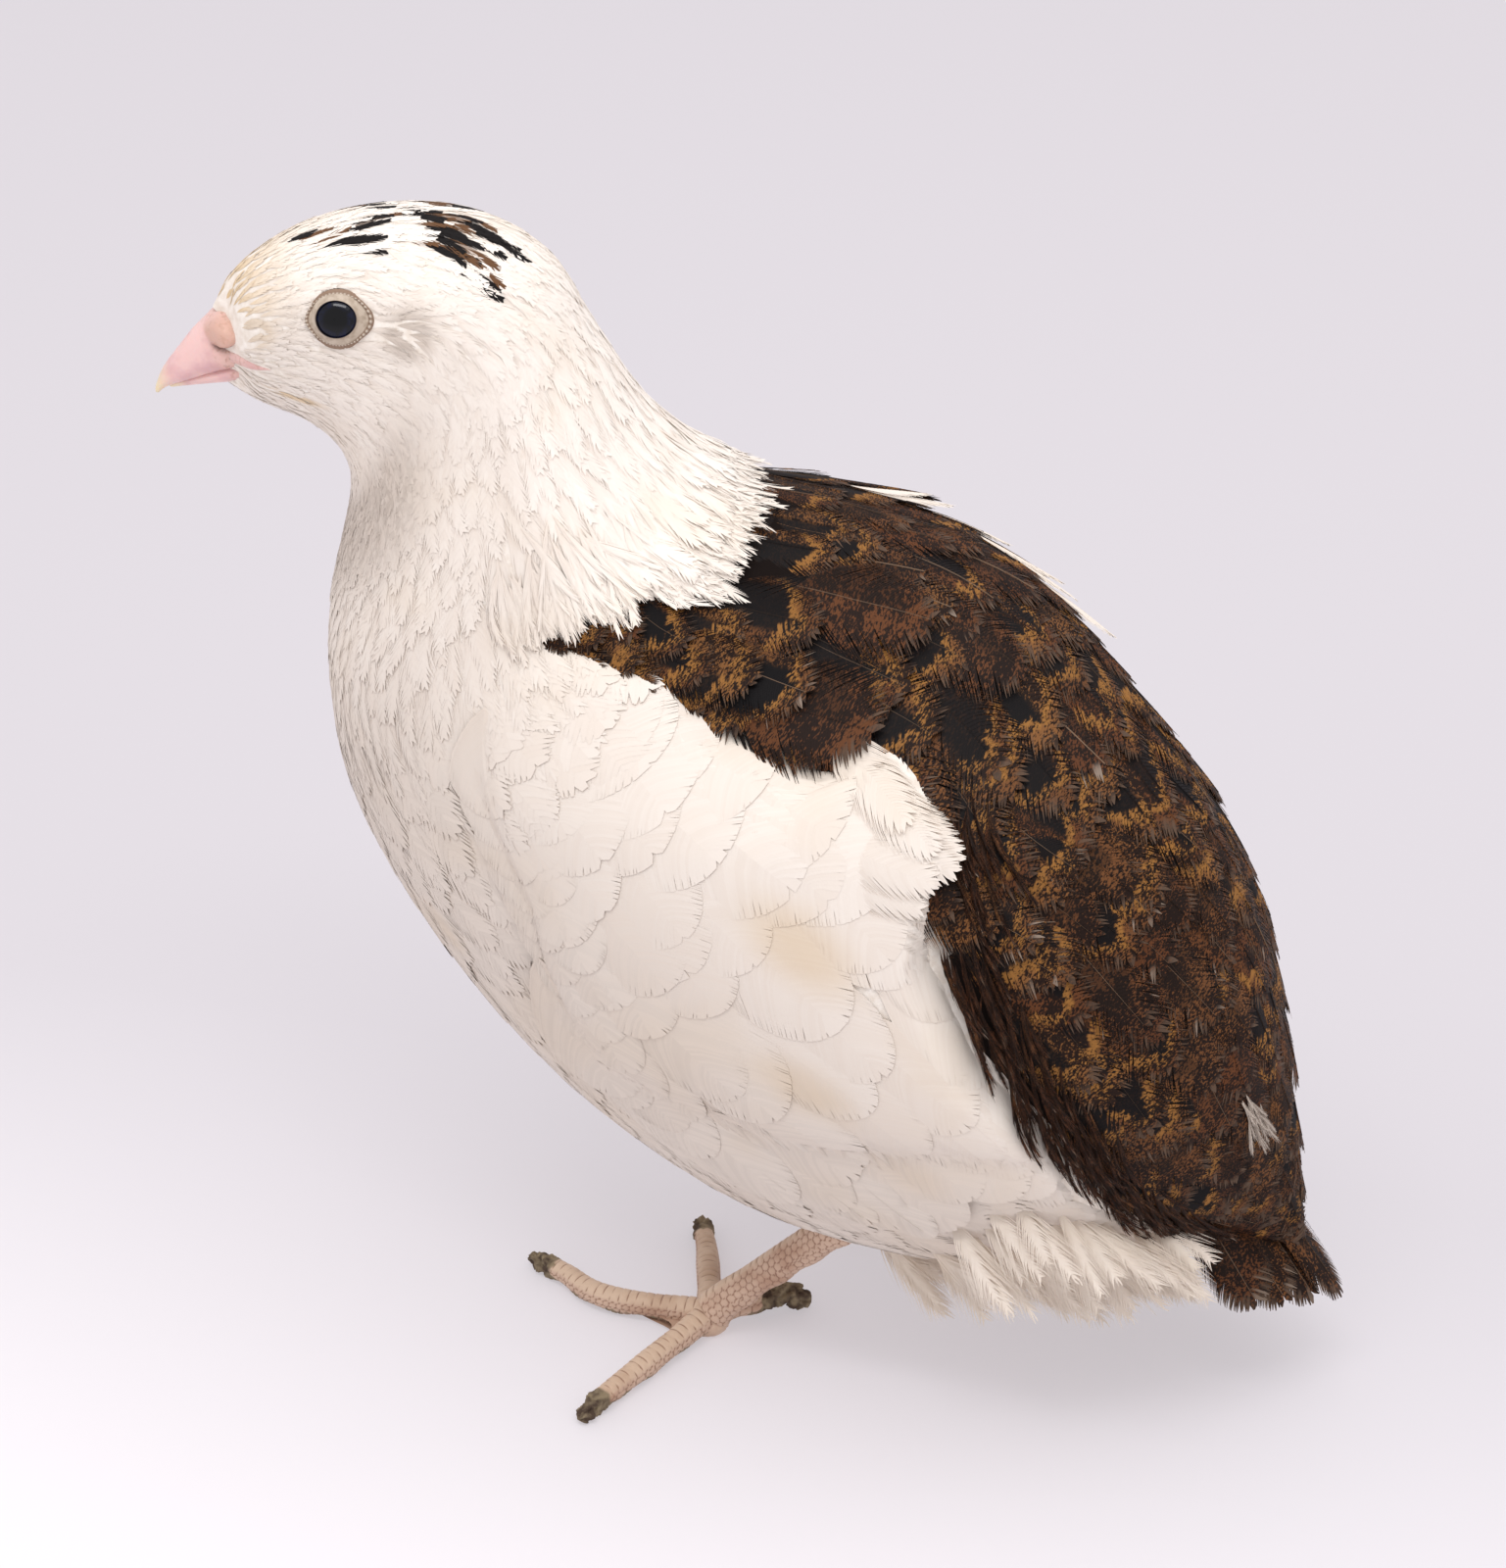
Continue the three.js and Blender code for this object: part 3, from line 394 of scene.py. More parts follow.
def vanes(rng, count, width, kind, round_from=ROUND_FROM):
    """Barb strips and shafts of count feathers, as shares of their length and half width.

    Each barb is a strip that leaves the shaft, bends towards the tip and narrows. Barbs cling
    together in clumps near their ends, as real ones do where their hooks have let go.
    """
    barbs, parts, clump, groups, ragged, thin, fine_from, sweep, shaft = FEATHERS[kind][:9]
    number = np.arange(barbs)[None, None, :, None, None]
    hand = np.array([-1.0, 1.0])[None, :, None, None, None]
    s = np.linspace(0, 1, parts + 1)[None, None, None, :, None]
    edge = np.array([-0.5, 0.5])[None, None, None, None, :]
    shape = (count, 2, barbs, parts + 1, 2)
    pulls = groups * rng.uniform(0.7, 1.3, (count, 2, 1, 1, 1))
    phase = rng.random((count, 2, 1, 1, 1))
    middle = (number + 0.5) / barbs
    centre = (np.floor(middle * pulls + phase) + 0.5 - phase) / pulls
    jitter = rng.normal(0, 0.2 / barbs, (count, 2, barbs, 1, 1))
    strip = 1.3 * (1 - thin * s**fine_from)
    f = np.clip(middle + edge * strip / barbs + (jitter + clump * (centre - middle)) * s**2.5, 0, 1)
    base = 0.9 * f
    tip = sweep + (1 - sweep) * f**0.8
    past = np.clip((tip - round_from) / (1 - round_from), 0, 1)
    before = np.clip((round_from - tip) / round_from, 0, 1)
    outline = np.sqrt(1 - past**2) * (1 - 0.6 * before**2)
    reach = 1 - ragged * rng.random((count, 2, barbs, 1, 1)) ** 2
    length = base + (tip - base) * s**1.25 * reach
    across = hand * outline * s**0.85 * reach
    own = rng.random((count, 2, barbs, 1, 1))
    share, across, s, edge, own = (
        np.broadcast_to(a, shape).reshape(count, -1) for a in (length, across, s, edge, own))
    on_shaft = np.zeros_like(share)
    one = grid_quads(parts + 1, 2)
    quads = repeated(one, 2 * (parts + 1), 2 * barbs)
    if shaft:
        steps = 8
        rod = np.linspace(0.0, 0.93, steps)[:, None] + np.zeros((1, 3))
        rod_side = np.array([-1.0, 0.0, 1.0])[None, :] * shaft * (1 - 0.75 * rod)
        ridge = 2 - np.abs(np.array([-1.0, 0.0, 1.0]))[None, :] + 0 * rod
        quads = np.concatenate([quads, grid_quads(steps, 3) + share.shape[1]])

        def with_rod(values, rods):
            return np.concatenate([values, np.broadcast_to(rods.reshape(1, -1), (count, rods.size))], 1)

        across = np.concatenate([across, rod_side.reshape(1, -1) / (width[:, None] / 2)], 1)
        share, s, edge = with_rod(share, rod), with_rod(s, 0 * rod), with_rod(edge, 0 * rod)
        own, on_shaft = with_rod(own, 0 * rod + 0.5), with_rod(on_shaft, ridge)
    quads = repeated(quads, share.shape[1], count)
    random = np.broadcast_to(rng.random((count, 1)), share.shape)
    return {
        "share": share, "across": across, "s": s, "edge": edge, "own": own, "on_shaft": on_shaft,
        "quads": quads,
        "vane": np.stack([across, share, random], -1),
        "barb": np.stack([own, s, np.minimum(on_shaft, 1)], -1),
    }


def relief(vane, kind, root, tip):
    """How high each point of a vane stands: rising to its tip, arched, each barb a little on edge."""
    camber, tilt, fray = FEATHERS[kind][9:]
    rise = root[:, None] + (tip - root)[:, None] * vane["share"] ** 1.2 - camber * vane["across"] ** 2
    rise = rise + tilt * vane["edge"] * (1 - 0.5 * vane["s"]) + fray * (vane["own"] - 0.5) * vane["s"] ** 2
    return rise + np.where(vane["on_shaft"] > 0, 0.02 + 0.1 * (vane["on_shaft"] - 1), 0)


def full(value, count):
    """A number for each of count feathers, from one number or from one for each."""
    return np.broadcast_to(np.asarray(value, float), (count,)).astype(float)


def plumage(rng, kind, t, q, length, width, turn, root, tip, over=None, bend=0.0):
    """Feathers that follow the skin, as rows of barb strips.

    root and tip are how high a feather stands at its ends, and over(t, q) adds to that.
    """
    t, q = np.asarray(t, float), np.asarray(q, float)
    length, width, turn, root, tip, bend = (full(v, len(t)) for v in (length, width, turn, root, tip, bend))
    side = np.where(np.mod(q, 2) > 1, 1.0, -1.0)
    spine = spines(t, q, turn, side, length, bend)
    vane = vanes(rng, len(t), width, kind)
    found = along_spine(spine, vane["share"])
    reach = vane["across"] * (width / 2)[:, None]
    vane["t"] = found[..., 0] + found[..., 2] * reach
    vane["q"] = found[..., 1] + found[..., 3] * reach
    vane["rise"] = relief(vane, kind, root, tip)
    if over is not None:
        vane["rise"] = vane["rise"] + over(vane["t"], vane["q"])
    return vane


def hung(rng, kind, root, heading, across, length, width, droop, round_from=ROUND_FROM):
    """Feathers in free space, from a root, a heading and a way across each, drooping to their tips."""
    count = len(root)
    length, width, droop = (full(v, count) for v in (length, width, droop))
    heading, across = unit(heading), unit(across)
    across = unit(across - heading * dot(across, heading)[:, None])
    up = np.cross(across, heading)
    vane = vanes(rng, count, width, kind, round_from)
    rise = relief(vane, kind, 0 * droop, 0 * droop) - droop[:, None] * vane["share"] ** 2
    out = length[:, None] * vane["share"]
    aside = vane["across"] * (width / 2)[:, None]
    ways = ((out, heading), (aside, across), (rise, up))
    vane["points"] = root[:, None, :] + sum(size[..., None] * way[:, None, :] for size, way in ways)
    return vane


def feather_piece(name, material, tract, mark, nodes=()):
    """A tract as one mesh. mark gives three numbers a point, which its material reads."""
    points = tract["points"] if "points" in tract else skin(tract["t"], tract["q"], tract["rise"])
    layers = {"vane": tract["vane"], "barb": tract["barb"], "mark": mark}
    return mesh_piece(name, points, tract["quads"], material, nodes, layers)


def rows_of_roots(rng, start, end, exposure, spacing, keep, wander=0.2):
    """Roots of a tract in bricked rows, exposure and spacing in millimetres; keep(t, q) picks them."""
    fine = np.linspace(start, end, 400)
    middle = on_loft(BODY, fine, 0.55)
    travelled = np.concatenate([[0], np.cumsum(np.linalg.norm(np.diff(middle, axis=0), axis=1))])
    rows = np.interp(np.arange(0, travelled[-1], exposure), travelled, fine)
    found = []
    for i, t in enumerate(rows):
        around = np.linspace(0, 2, 721)
        ring = on_loft(BODY, t, around)
        ring_length = np.concatenate([[0], np.cumsum(np.linalg.norm(np.diff(ring, axis=0), axis=1))])
        count = max(6, round(ring_length[-1] / spacing))
        places = (np.arange(count) + 0.5 * (i % 2)) / count * ring_length[-1]
        places = places + rng.normal(0, wander * spacing, count)
        q = np.interp(places, ring_length, around, period=ring_length[-1])
        drift = rng.normal(0, wander * exposure, count) / np.interp(t, fine, np.gradient(travelled, fine))
        found.append(np.stack([t + drift, q], -1))
    t, q = np.concatenate(found).T
    kept = keep(t, q)
    return t[kept], q[kept]


# ---------------------------------------------------------------- where the colours are
# About how many millimetres one station and one turn are, halfway up the body.
STATION_LENGTH, TURN_LENGTH = 14.0, 95.0


def is_brown(t, q, inside=0.0):
    """Whether a place is on the brown back, at least so many millimetres from its edges."""
    height = height_of(q)
    front = between(BROWN_FRONT, height) + inside / STATION_LENGTH
    return (t > front) & (height > between(BROWN_LOW, t) + inside / TURN_LENGTH) & (t < BROWN_END)


def is_wing(t, q, inside=0.0):
    """Whether a place is on the folded wing, at least so many millimetres from its lower edge."""
    height = height_of(q)
    low, high = between(WING_LOW, t) + inside / TURN_LENGTH, between(BROWN_LOW, t)
    return (height > low) & (height < high) & (t > WING_START) & (t < WING_END)


def tucked(t, q):
    """White feathers that reach past the brown's lower edge slip in under it."""
    early = 0.035 * smooth(t, 10.7, 11.2)
    height = height_of(q)
    behind = smooth(t - between(BROWN_FRONT, height), -0.2, 0.15)
    return -3.5 * smooth(height - between(BROWN_LOW, t) + early, 0.0, 0.05) * behind


def under_brown(t, q):
    """1 where brown feathers cover the white ones, 0 where they do not."""
    height = height_of(q)
    behind = smooth(t - between(BROWN_FRONT, height), -0.25, 0.05)
    return behind * smooth(height - between(BROWN_LOW, t), 0.0, 0.03)


def under_wing(t, q):
    """How far the body sinks beside the wing's lower edge, which casts its shadow there."""
    away = height_of(q) - between(WING_LOW, t)
    return -0.9 * smooth(away, -0.08, 0.0) * smooth(t, 9.0, 9.8) * smooth(t, 13.2, 12.4)


def over_wing(t, q):
    """Body feathers lie over the wing's front edge, and deeper than the rest under its lower edge."""
    height, low = height_of(q), between(WING_LOW, t)
    on = smooth(t, 7.3, 7.9) * smooth(height - low, -0.02, 0.02) * smooth(t, 9.6, 8.8)
    return tucked(t, q) + (wing_rise(t, q) + 0.1) * on + under_wing(t, q)


# Dark marks on the crown: station, height, side, length and width in millimetres, and the share of
# the feathers in it that are black, where the rest are brown.
CROWN_MARKS = [
    (2.14, 0.933, LEFT, 3.0, 1.9, 0.4), (2.72, 0.867, LEFT, 4.6, 2.4, 0.8),
    (2.86, 0.928, LEFT, 3.4, 2.0, 0.5), (3.53, 0.972, LEFT, 5.0, 2.0, 0.9),
    (3.87, 0.9, LEFT, 5.0, 3.2, 0.9), (4.09, 0.964, LEFT, 6.0, 4.6, 0.3),
    (4.14, 0.87, LEFT, 3.8, 3.0, 0.3), (4.6, 0.925, LEFT, 3.6, 3.2, 0.8),
    (4.43, 0.794, LEFT, 3.0, 2.0, 0.5), (3.26, 0.972, RIGHT, 3.4, 2.0, 0.8),
    (2.7, 0.9, RIGHT, 3.6, 2.2, 0.8), (3.9, 0.93, RIGHT, 5.4, 3.8, 0.5),
    (4.35, 0.86, RIGHT, 3.6, 2.6, 0.7),
]
# Ivory stains on the white: station, height, side, radius in millimetres and depth.
STAINS = [
    (10.66, 0.597, LEFT, 7.5, 0.55), (11.35, 0.5, LEFT, 6.0, 0.4), (9.1, 0.28, LEFT, 4.0, 0.3),
    (12.3, 0.47, LEFT, 5.0, 0.25), (9.6, 0.6, RIGHT, 6.0, 0.35), (11.6, 0.45, RIGHT, 6.0, 0.35),
]


def patch_distance(here, station, up, side, length, width):
    """How far places are from a patch's middle, in half lengths and half widths along the skin."""
    middle = looked_up(SURFACE, station, on_side(up, side))[:3]
    along, _, normal = skin_steps(station, on_side(up, side))
    away = here - middle
    tailward = unit(along)
    shares = (dot(away, tailward) * 2 / length, dot(away, np.cross(normal, tailward)) * 2 / width,
              dot(away, normal) / 4)
    return np.sqrt(shares[0] ** 2 + shares[1] ** 2 + shares[2] ** 2)


def ear_distance(here):
    """How far places are from the middle of the nearer ear's patch, in its radii."""
    return np.minimum(*[patch_distance(here, *EAR, side, EAR_SIZE, EAR_SIZE) for side in (LEFT, RIGHT)])


def crown_mark(rng, t, q):
    """For whole feathers: 0 for white, 0.6 for brown and 1 for black."""
    here = skin(t, q, np.zeros_like(t))
    dark = np.zeros_like(t)
    chance, black = rng.random(len(t)), rng.random(len(t))
    for station, up, side, length, width, share in CROWN_MARKS:
        far = patch_distance(here, station, up, side, length, width)
        dark = np.where(smooth(far, 1.1, 0.7) > chance, np.where(black < share, 1.0, 0.6), dark)
    return dark


def white_mark(t, q):
    """How dark, how buff and how grey the white plumage is at each place. Much of the grey is painted shade.
    """
    here = skin(t, q, np.zeros_like(t))
    height = height_of(q)
    # Painted shade: grey on the throat under the head and on the lower face, and over all the white but the
    # back of the neck, more so low on the body.
    throat_shadow = 0.8 * smooth(height, 0.76, 0.36) * smooth(t, 2.4, 4.5) * smooth(t, 7.8, 4.8)
    cheek_shade = 0.35 * smooth(height, 0.75, 0.5) * smooth(t, 1.6, 2.6) * smooth(t, 7.0, 5.0)
    white = smooth(height, 0.62, 0.72) * smooth(t, 8.6, 7.6)
    shade = (0.35 + 0.32 * smooth(height, 0.72, 0.42) * smooth(t, 5.5, 8)) * (1 - white)
    ear = 0.8 * smooth(ear_distance(here), 1.15, 0.4)
    grey = np.maximum(np.maximum(shade, ear), np.maximum(throat_shadow, cheek_shade))
    buff = 0.95 * smooth(t, 2.3, 0.6) * smooth(height, 0.5, 0.72)
    for station, up, side, radius, depth in STAINS:
        far = patch_distance(here, station, up, side, radius * 2, radius)
        buff = np.maximum(buff, depth * smooth(far, 1.3, 0.2))
    for side in (LEFT, RIGHT):
        lore = smooth(patch_distance(here, 1.3, 0.6, side, 5.0, 4.0), 1.3, 0.5)
        fold = smooth(patch_distance(here, 1.75, 0.335, side, 7.0, 0.9), 1.3, 0.6)
        buff = np.maximum(np.maximum(buff, 0.45 * lore), 0.8 * fold)
        grey = np.maximum(grey, 0.42 * lore)
    return np.stack([0 * t, buff, grey], -1)


# ---------------------------------------------------------------- materials
def linear(code):
    """A colour given as sRGB hex, as Blender's linear RGBA."""
    parts = [int(code[i:i + 2], 16) / 255 for i in (1, 3, 5)]
    return (*[p / 12.92 if p <= 0.04045 else ((p + 0.055) / 1.055) ** 2.4 for p in parts], 1.0)


def add(tree, kind, inputs=(), **settings):
    """Adds a node and gives its outputs. inputs are sockets, numbers or hex colours, in order or by name."""
    node = tree.nodes.new("ShaderNode" + kind)
    for name, value in settings.items():
        setattr(node, name, value)
    for place, value in inputs.items() if isinstance(inputs, dict) else enumerate(inputs):
        if isinstance(value, bpy.types.NodeSocket):
            tree.links.new(value, node.inputs[place])
        else:
            node.inputs[place].default_value = linear(value) if isinstance(value, str) else value
    return node.outputs


def finish(name, layers=(), **numbers):
    """A new material with its shader's plain numbers: its node tree, its shader's inputs and its place.

    After those come the three numbers that each named layer of the mesh gives.
    """
    material = bpy.data.materials.new(name)
    material.use_nodes = True
    tree = material.node_tree
    shader = tree.nodes["Principled BSDF"].inputs
    for socket, number in numbers.items():
        shader[socket.replace("_", " ")].default_value = number
    looks = []
    for layer in layers:
        vector = add(tree, "Attribute", attribute_name=layer)["Vector"]
        looks.append(add(tree, "SeparateXYZ", (vector,)))
    return material, tree, shader, add(tree, "TexCoord")["Object"], *looks


def per_mm(size):
    """A noise texture's scale for spots about size millimetres across."""
    return 0.5 / (size * MM)


SOFT = {"interpolation_type": "SMOOTHSTEP"}
COLOURS = {"data_type": "RGBA"}
TIMES = {"operation": "MULTIPLY"}
TIMES_PLUS = {"operation": "MULTIPLY_ADD"}


def dress(tree, shader, colour, coats, grain, depth, strength=1.0):
    """Lays coats on a colour, each a share and its own colour, and a grain depth millimetres deep."""
    for share, coat in coats:
        colour = add(tree, "Mix", {0: share, 6: colour, 7: coat}, **COLOURS)[2]
    tree.links.new(colour, shader["Base Color"])
    bump = add(tree, "Bump", {"Height": grain, "Distance": depth * MM, "Strength": strength})[0]
    tree.links.new(bump, shader["Normal"])


def white_contour_feather():
    """Feather keratin without pigment: matt from its barbs, warm white, duller towards its root."""
    material, tree, shader, place, vane, barb, mark = finish(
        "white_contour_feather", ("vane", "barb", "mark"), Roughness=0.7, Specular_IOR_Level=0.2)
    along, random = vane[1:]
    own = barb[0]
    dark, buff, grey = mark
    tone = add(tree, "Math", (own, 0.5, add(tree, "Math", (random, 0.5), **TIMES)[0]), **TIMES_PLUS)[0]
    cloud = add(tree, "TexNoise", {"Vector": place, "Scale": per_mm(6.0), "Detail": 2.0})[0]
    lines = add(tree, "MapRange", (own, 0.3, 0.8, 0.4, 1.0))[0]
    soiled_and_shaded = add(tree, "MapRange", (grey, 0.5, 1.0, 0.0, 0.65), **SOFT)[0]
    black = add(tree, "MapRange", (dark, 0.62, 0.95), **SOFT)[0]
    edge = add(tree, "Math", (own, 0.5, dark), **TIMES_PLUS)[0]
    coats = [
        (tone, "#f9f2ea"),
        (add(tree, "MapRange", (along, 0.6, 0.0, 0.0, 0.3), **SOFT)[0], "#decdbd"),
        (add(tree, "MapRange", (cloud, 0.46, 0.7, 0.0, 0.3), **SOFT)[0], "#ecdcc6"),
        (add(tree, "Math", (buff, 0.85), **TIMES)[0], "#dabb88"),
        # These two coats follow the grey mark. Part of it is the real grey of the ear patches and lores, and
        # part is painted shade under the head and towards the underside.
        (add(tree, "Math", (grey, 0.6), **TIMES)[0], "#b3a294"),
        (add(tree, "Math", (soiled_and_shaded, lines), **TIMES)[0], "#8b7c6f"),
        (add(tree, "MapRange", (edge, 0.55, 0.75), **SOFT)[0],
         add(tree, "Mix", {0: black, 6: "#6a4a31", 7: "#120d0d"}, **COLOURS)[2]),
    ]
    # Barbs are about 0.1 mm apart, too fine to show, so their ridges are drawn 0.25 mm apart.
    ridge = add(tree, "TexNoise", {"Vector": place, "Scale": per_mm(0.25), "Detail": 2.0})[0]
    dress(tree, shader, "#f1e7dd", coats, ridge, 0.03, 0.5)
    return material


def brown_back_feather():
    """Feather keratin full of melanin: a black middle, a rusty band of fine dark waves, a dull fringe."""
    material, tree, shader, place, vane, barb, mark = finish(
        "brown_back_feather", ("vane", "barb", "mark"), Roughness=0.55, Specular_IOR_Level=0.12)
    across, along, random = vane
    own, shaft = barb[0], barb[2]
    blotch, rust, pale = mark
    # Bands across each feather, in millimetres on a vane 15 mm long and 10 mm wide.
    bands = add(tree, "CombineXYZ", (add(tree, "Math", (across, 5.0), **TIMES)[0],
                                     add(tree, "Math", (along, 15.0), **TIMES)[0],
                                     add(tree, "Math", (random, 90.0), **TIMES)[0]))[0]
    # The real waves are 0.2 mm wide, drawn 0.3 mm wide to show.
    waves = add(tree, "Mapping", {"Vector": bands, "Scale": (1.0, 1.7, 1.0)})[0]
    fine = add(tree, "TexNoise", {"Vector": waves, "Scale": 2.7, "Detail": 2.0, "Roughness": 0.6})[0]
    broad = add(tree, "TexNoise", {"Vector": bands, "Scale": 0.35, "Detail": 2.0})[0]
    speck = add(tree, "Math", (broad, 0.35, add(tree, "Math", (fine, 0.65), **TIMES)[0]), **TIMES_PLUS)[0]
    bright = add(tree, "MapRange", (speck, 0.49, 0.57), **SOFT)[0]
    # How far out a place is on the feather, wobbling: the rusty rim is at about 1, the fringe past 1.1.
    side = add(tree, "Math", (across,), operation="ABSOLUTE")[0]
    wobble = add(tree, "Math", (broad, 0.25, add(tree, "Math", (own, 0.09), **TIMES)[0]), **TIMES_PLUS)[0]
    wobbled = add(tree, "Math", (along, wobble), operation="ADD")[0]
    reach = add(tree, "Math", (side, 0.22, wobbled), **TIMES_PLUS)[0]
    ochre = add(tree, "Mix", {0: random, 6: "#5e371f", 7: "#7f5530"}, **COLOURS)[2]
    mottled = add(tree, "Mix", {0: bright, 6: "#21130d", 7: ochre}, **COLOURS)[2]
    dull = add(tree, "Mix", {0: bright, 6: "#1a100d", 7: "#553320"}, **COLOURS)[2]
    # The black middle lies more in one half of the vane than in the other.
    leaning = add(tree, "Math", (across, 0.65), operation="SUBTRACT")[0]
    lean = add(tree, "Math", (random, 1.3, leaning), **TIMES_PLUS)[0]
    lean = add(tree, "Math", (lean,), operation="ABSOLUTE")[0]
    middle = add(tree, "Math", (add(tree, "MapRange", (reach, 0.97, 0.92), **SOFT)[0],
                                add(tree, "MapRange", (lean, 0.6, 0.42), **SOFT)[0]), **TIMES)[0]
    rim = add(tree, "Math", (add(tree, "MapRange", (reach, 0.93, 0.96), **SOFT)[0],
                             add(tree, "MapRange", (reach, 1.06, 1.0), **SOFT)[0]), **TIMES)[0]
    rim = add(tree, "Math", (rim, add(tree, "MapRange", (speck, 0.44, 0.52), **SOFT)[0]), **TIMES)[0]
    tips = add(tree, "Math", (pale, 0.45, own), **TIMES_PLUS)[0]
    bleached = add(tree, "MapRange", (tips, 1.18, 1.33), **SOFT)[0]
    hairs = add(tree, "Mix", {0: own, 6: "#2c211b", 7: "#5c4a3d"}, **COLOURS)[2]
    hairs = add(tree, "Mix", {0: bleached, 6: hairs, 7: "#8d7d70"}, **COLOURS)[2]
    coats = [
        (rust, mottled),
        (add(tree, "Math", (middle, 0.5), **TIMES)[0], "#1d130e"),
        (add(tree, "Math", (rim, blotch), **TIMES)[0], "#946633"),
        (add(tree, "Math", (middle, blotch), **TIMES)[0], "#0b080a"),
        (add(tree, "MapRange", (reach, 1.1, 1.2, 0.0, 0.9), **SOFT)[0], hairs),
        (add(tree, "Math", (shaft, pale), **TIMES)[0], "#7c6552"),
    ]
    ridge = add(tree, "TexNoise", {"Vector": place, "Scale": per_mm(0.25), "Detail": 2.0})[0]
    dress(tree, shader, dull, coats, ridge, 0.04, 0.5)
    return material


def grey_down():
    """Down under the contour feathers: matt fluff that only shows in the gaps between them."""
    material, tree, shader, place, mark = finish(
        "grey_down", ("mark",), Roughness=0.9, Specular_IOR_Level=0.1)
    fluff = add(tree, "TexNoise", {"Vector": place, "Scale": per_mm(0.5), "Detail": 3.0})[0]
    coats = [
        (add(tree, "MapRange", (fluff, 0.35, 0.65))[0], "#f4ede5"),
        (mark[0], "#17100e"),
    ]
    dress(tree, shader, "#e4d9cd", coats, fluff, 0.1)
    return material


def horn_and_skin_bill():
    """Live horn over pink flesh: smooth, slightly see-through, ivory at the worn tip."""
    material, tree, shader, place, vane, barb = finish(
        "horn_and_skin_bill", ("vane", "barb"), Roughness=0.36, Specular_IOR_Level=0.4,
        Subsurface_Weight=0.2, Subsurface_Radius=(0.0012, 0.0006, 0.0004), Subsurface_Scale=1.0)
    share, flap = vane[0], vane[2]
    shaded_slit, edge, base = barb
    vein = add(tree, "TexNoise", {"Vector": place, "Scale": per_mm(1.3), "Detail": 3.0})[0]
    grain = add(tree, "TexNoise", {"Vector": place, "Scale": per_mm(0.25), "Detail": 3.0})[0]
    flakes = add(tree, "MapRange", (grain, 0.52, 0.66), **SOFT)[0]
    scurf = add(tree, "Math", (flakes, base), **TIMES)[0]
    coats = [
        (add(tree, "MapRange", (vein, 0.45, 0.7, 0.0, 0.6), **SOFT)[0], "#cfa0a6"),
        (add(tree, "MapRange", (share, 0.66, 0.97), **SOFT)[0], "#e8d6b4"),
        (add(tree, "Math", (flap, 0.85), **TIMES)[0], "#d3ab9a"),
        (add(tree, "Math", (edge, 0.3), **TIMES)[0], "#c08a82"),
        (add(tree, "Math", (base, 0.35), **TIMES)[0], "#c8a083"),
        (add(tree, "Math", (scurf, 0.5), **TIMES)[0], "#9c6e52"),
        # Painted shade: the nostril slit and the mouth's line at the gape are coloured dark brown.
        (add(tree, "Math", (shaded_slit, 0.9), **TIMES)[0], "#5f3222"),
    ]
    dress(tree, shader, "#e8c2be", coats, grain, 0.04)
    return material


def wet_eyeball():
    """Cornea over a dark iris: glassy and wet, so it mirrors the lights."""
    material, tree, shader, place, vane = finish(
        "wet_eyeball", ("vane",), Roughness=0.05, Specular_IOR_Level=0.28)
    out = vane[0]
    fibres = add(tree, "TexNoise", {"Vector": place, "Scale": per_mm(0.3), "Detail": 3.0})[0]
    blue = add(tree, "MapRange", (fibres, 0.4, 0.65))[0]
    iris = add(tree, "Mix", {0: blue, 6: "#070914", 7: "#0f1530"}, **COLOURS)[2]
    coats = [
        (add(tree, "MapRange", (out, 0.3, 0.48), **SOFT)[0], iris),
        (add(tree, "MapRange", (out, 0.6, 0.7), **SOFT)[0], "#1b1310"),
    ]
    dress(tree, shader, "#030407", coats, fibres, 0.002, 0.2)
    return material


def bare_eyelid_skin():
    """Thin bare skin, dry and finely beaded along its rim."""
    material, tree, shader, place, vane = finish(
        "bare_eyelid_skin", ("vane",), Roughness=0.55, Specular_IOR_Level=0.35)
    share, bead = vane[:2]
    grain = add(tree, "TexNoise", {"Vector": place, "Scale": per_mm(0.3), "Detail": 3.0})[0]
    beads = add(tree, "Mix", {0: bead, 6: "#7d6350", 7: "#e2d7c8"}, **COLOURS)[2]
    coats = [
        (add(tree, "MapRange", (grain, 0.4, 0.65))[0], "#ab9a88"),
        (add(tree, "MapRange", (share, 0.62, 0.72), **SOFT)[0], beads),
        (add(tree, "MapRange", (share, 0.9, 1.0), **SOFT)[0], "#8d7461"),
        (add(tree, "MapRange", (share, 0.12, 0.02), **SOFT)[0], "#3b302c"),
    ]
    dress(tree, shader, "#c3b4a3", coats, grain, 0.05)
    return material


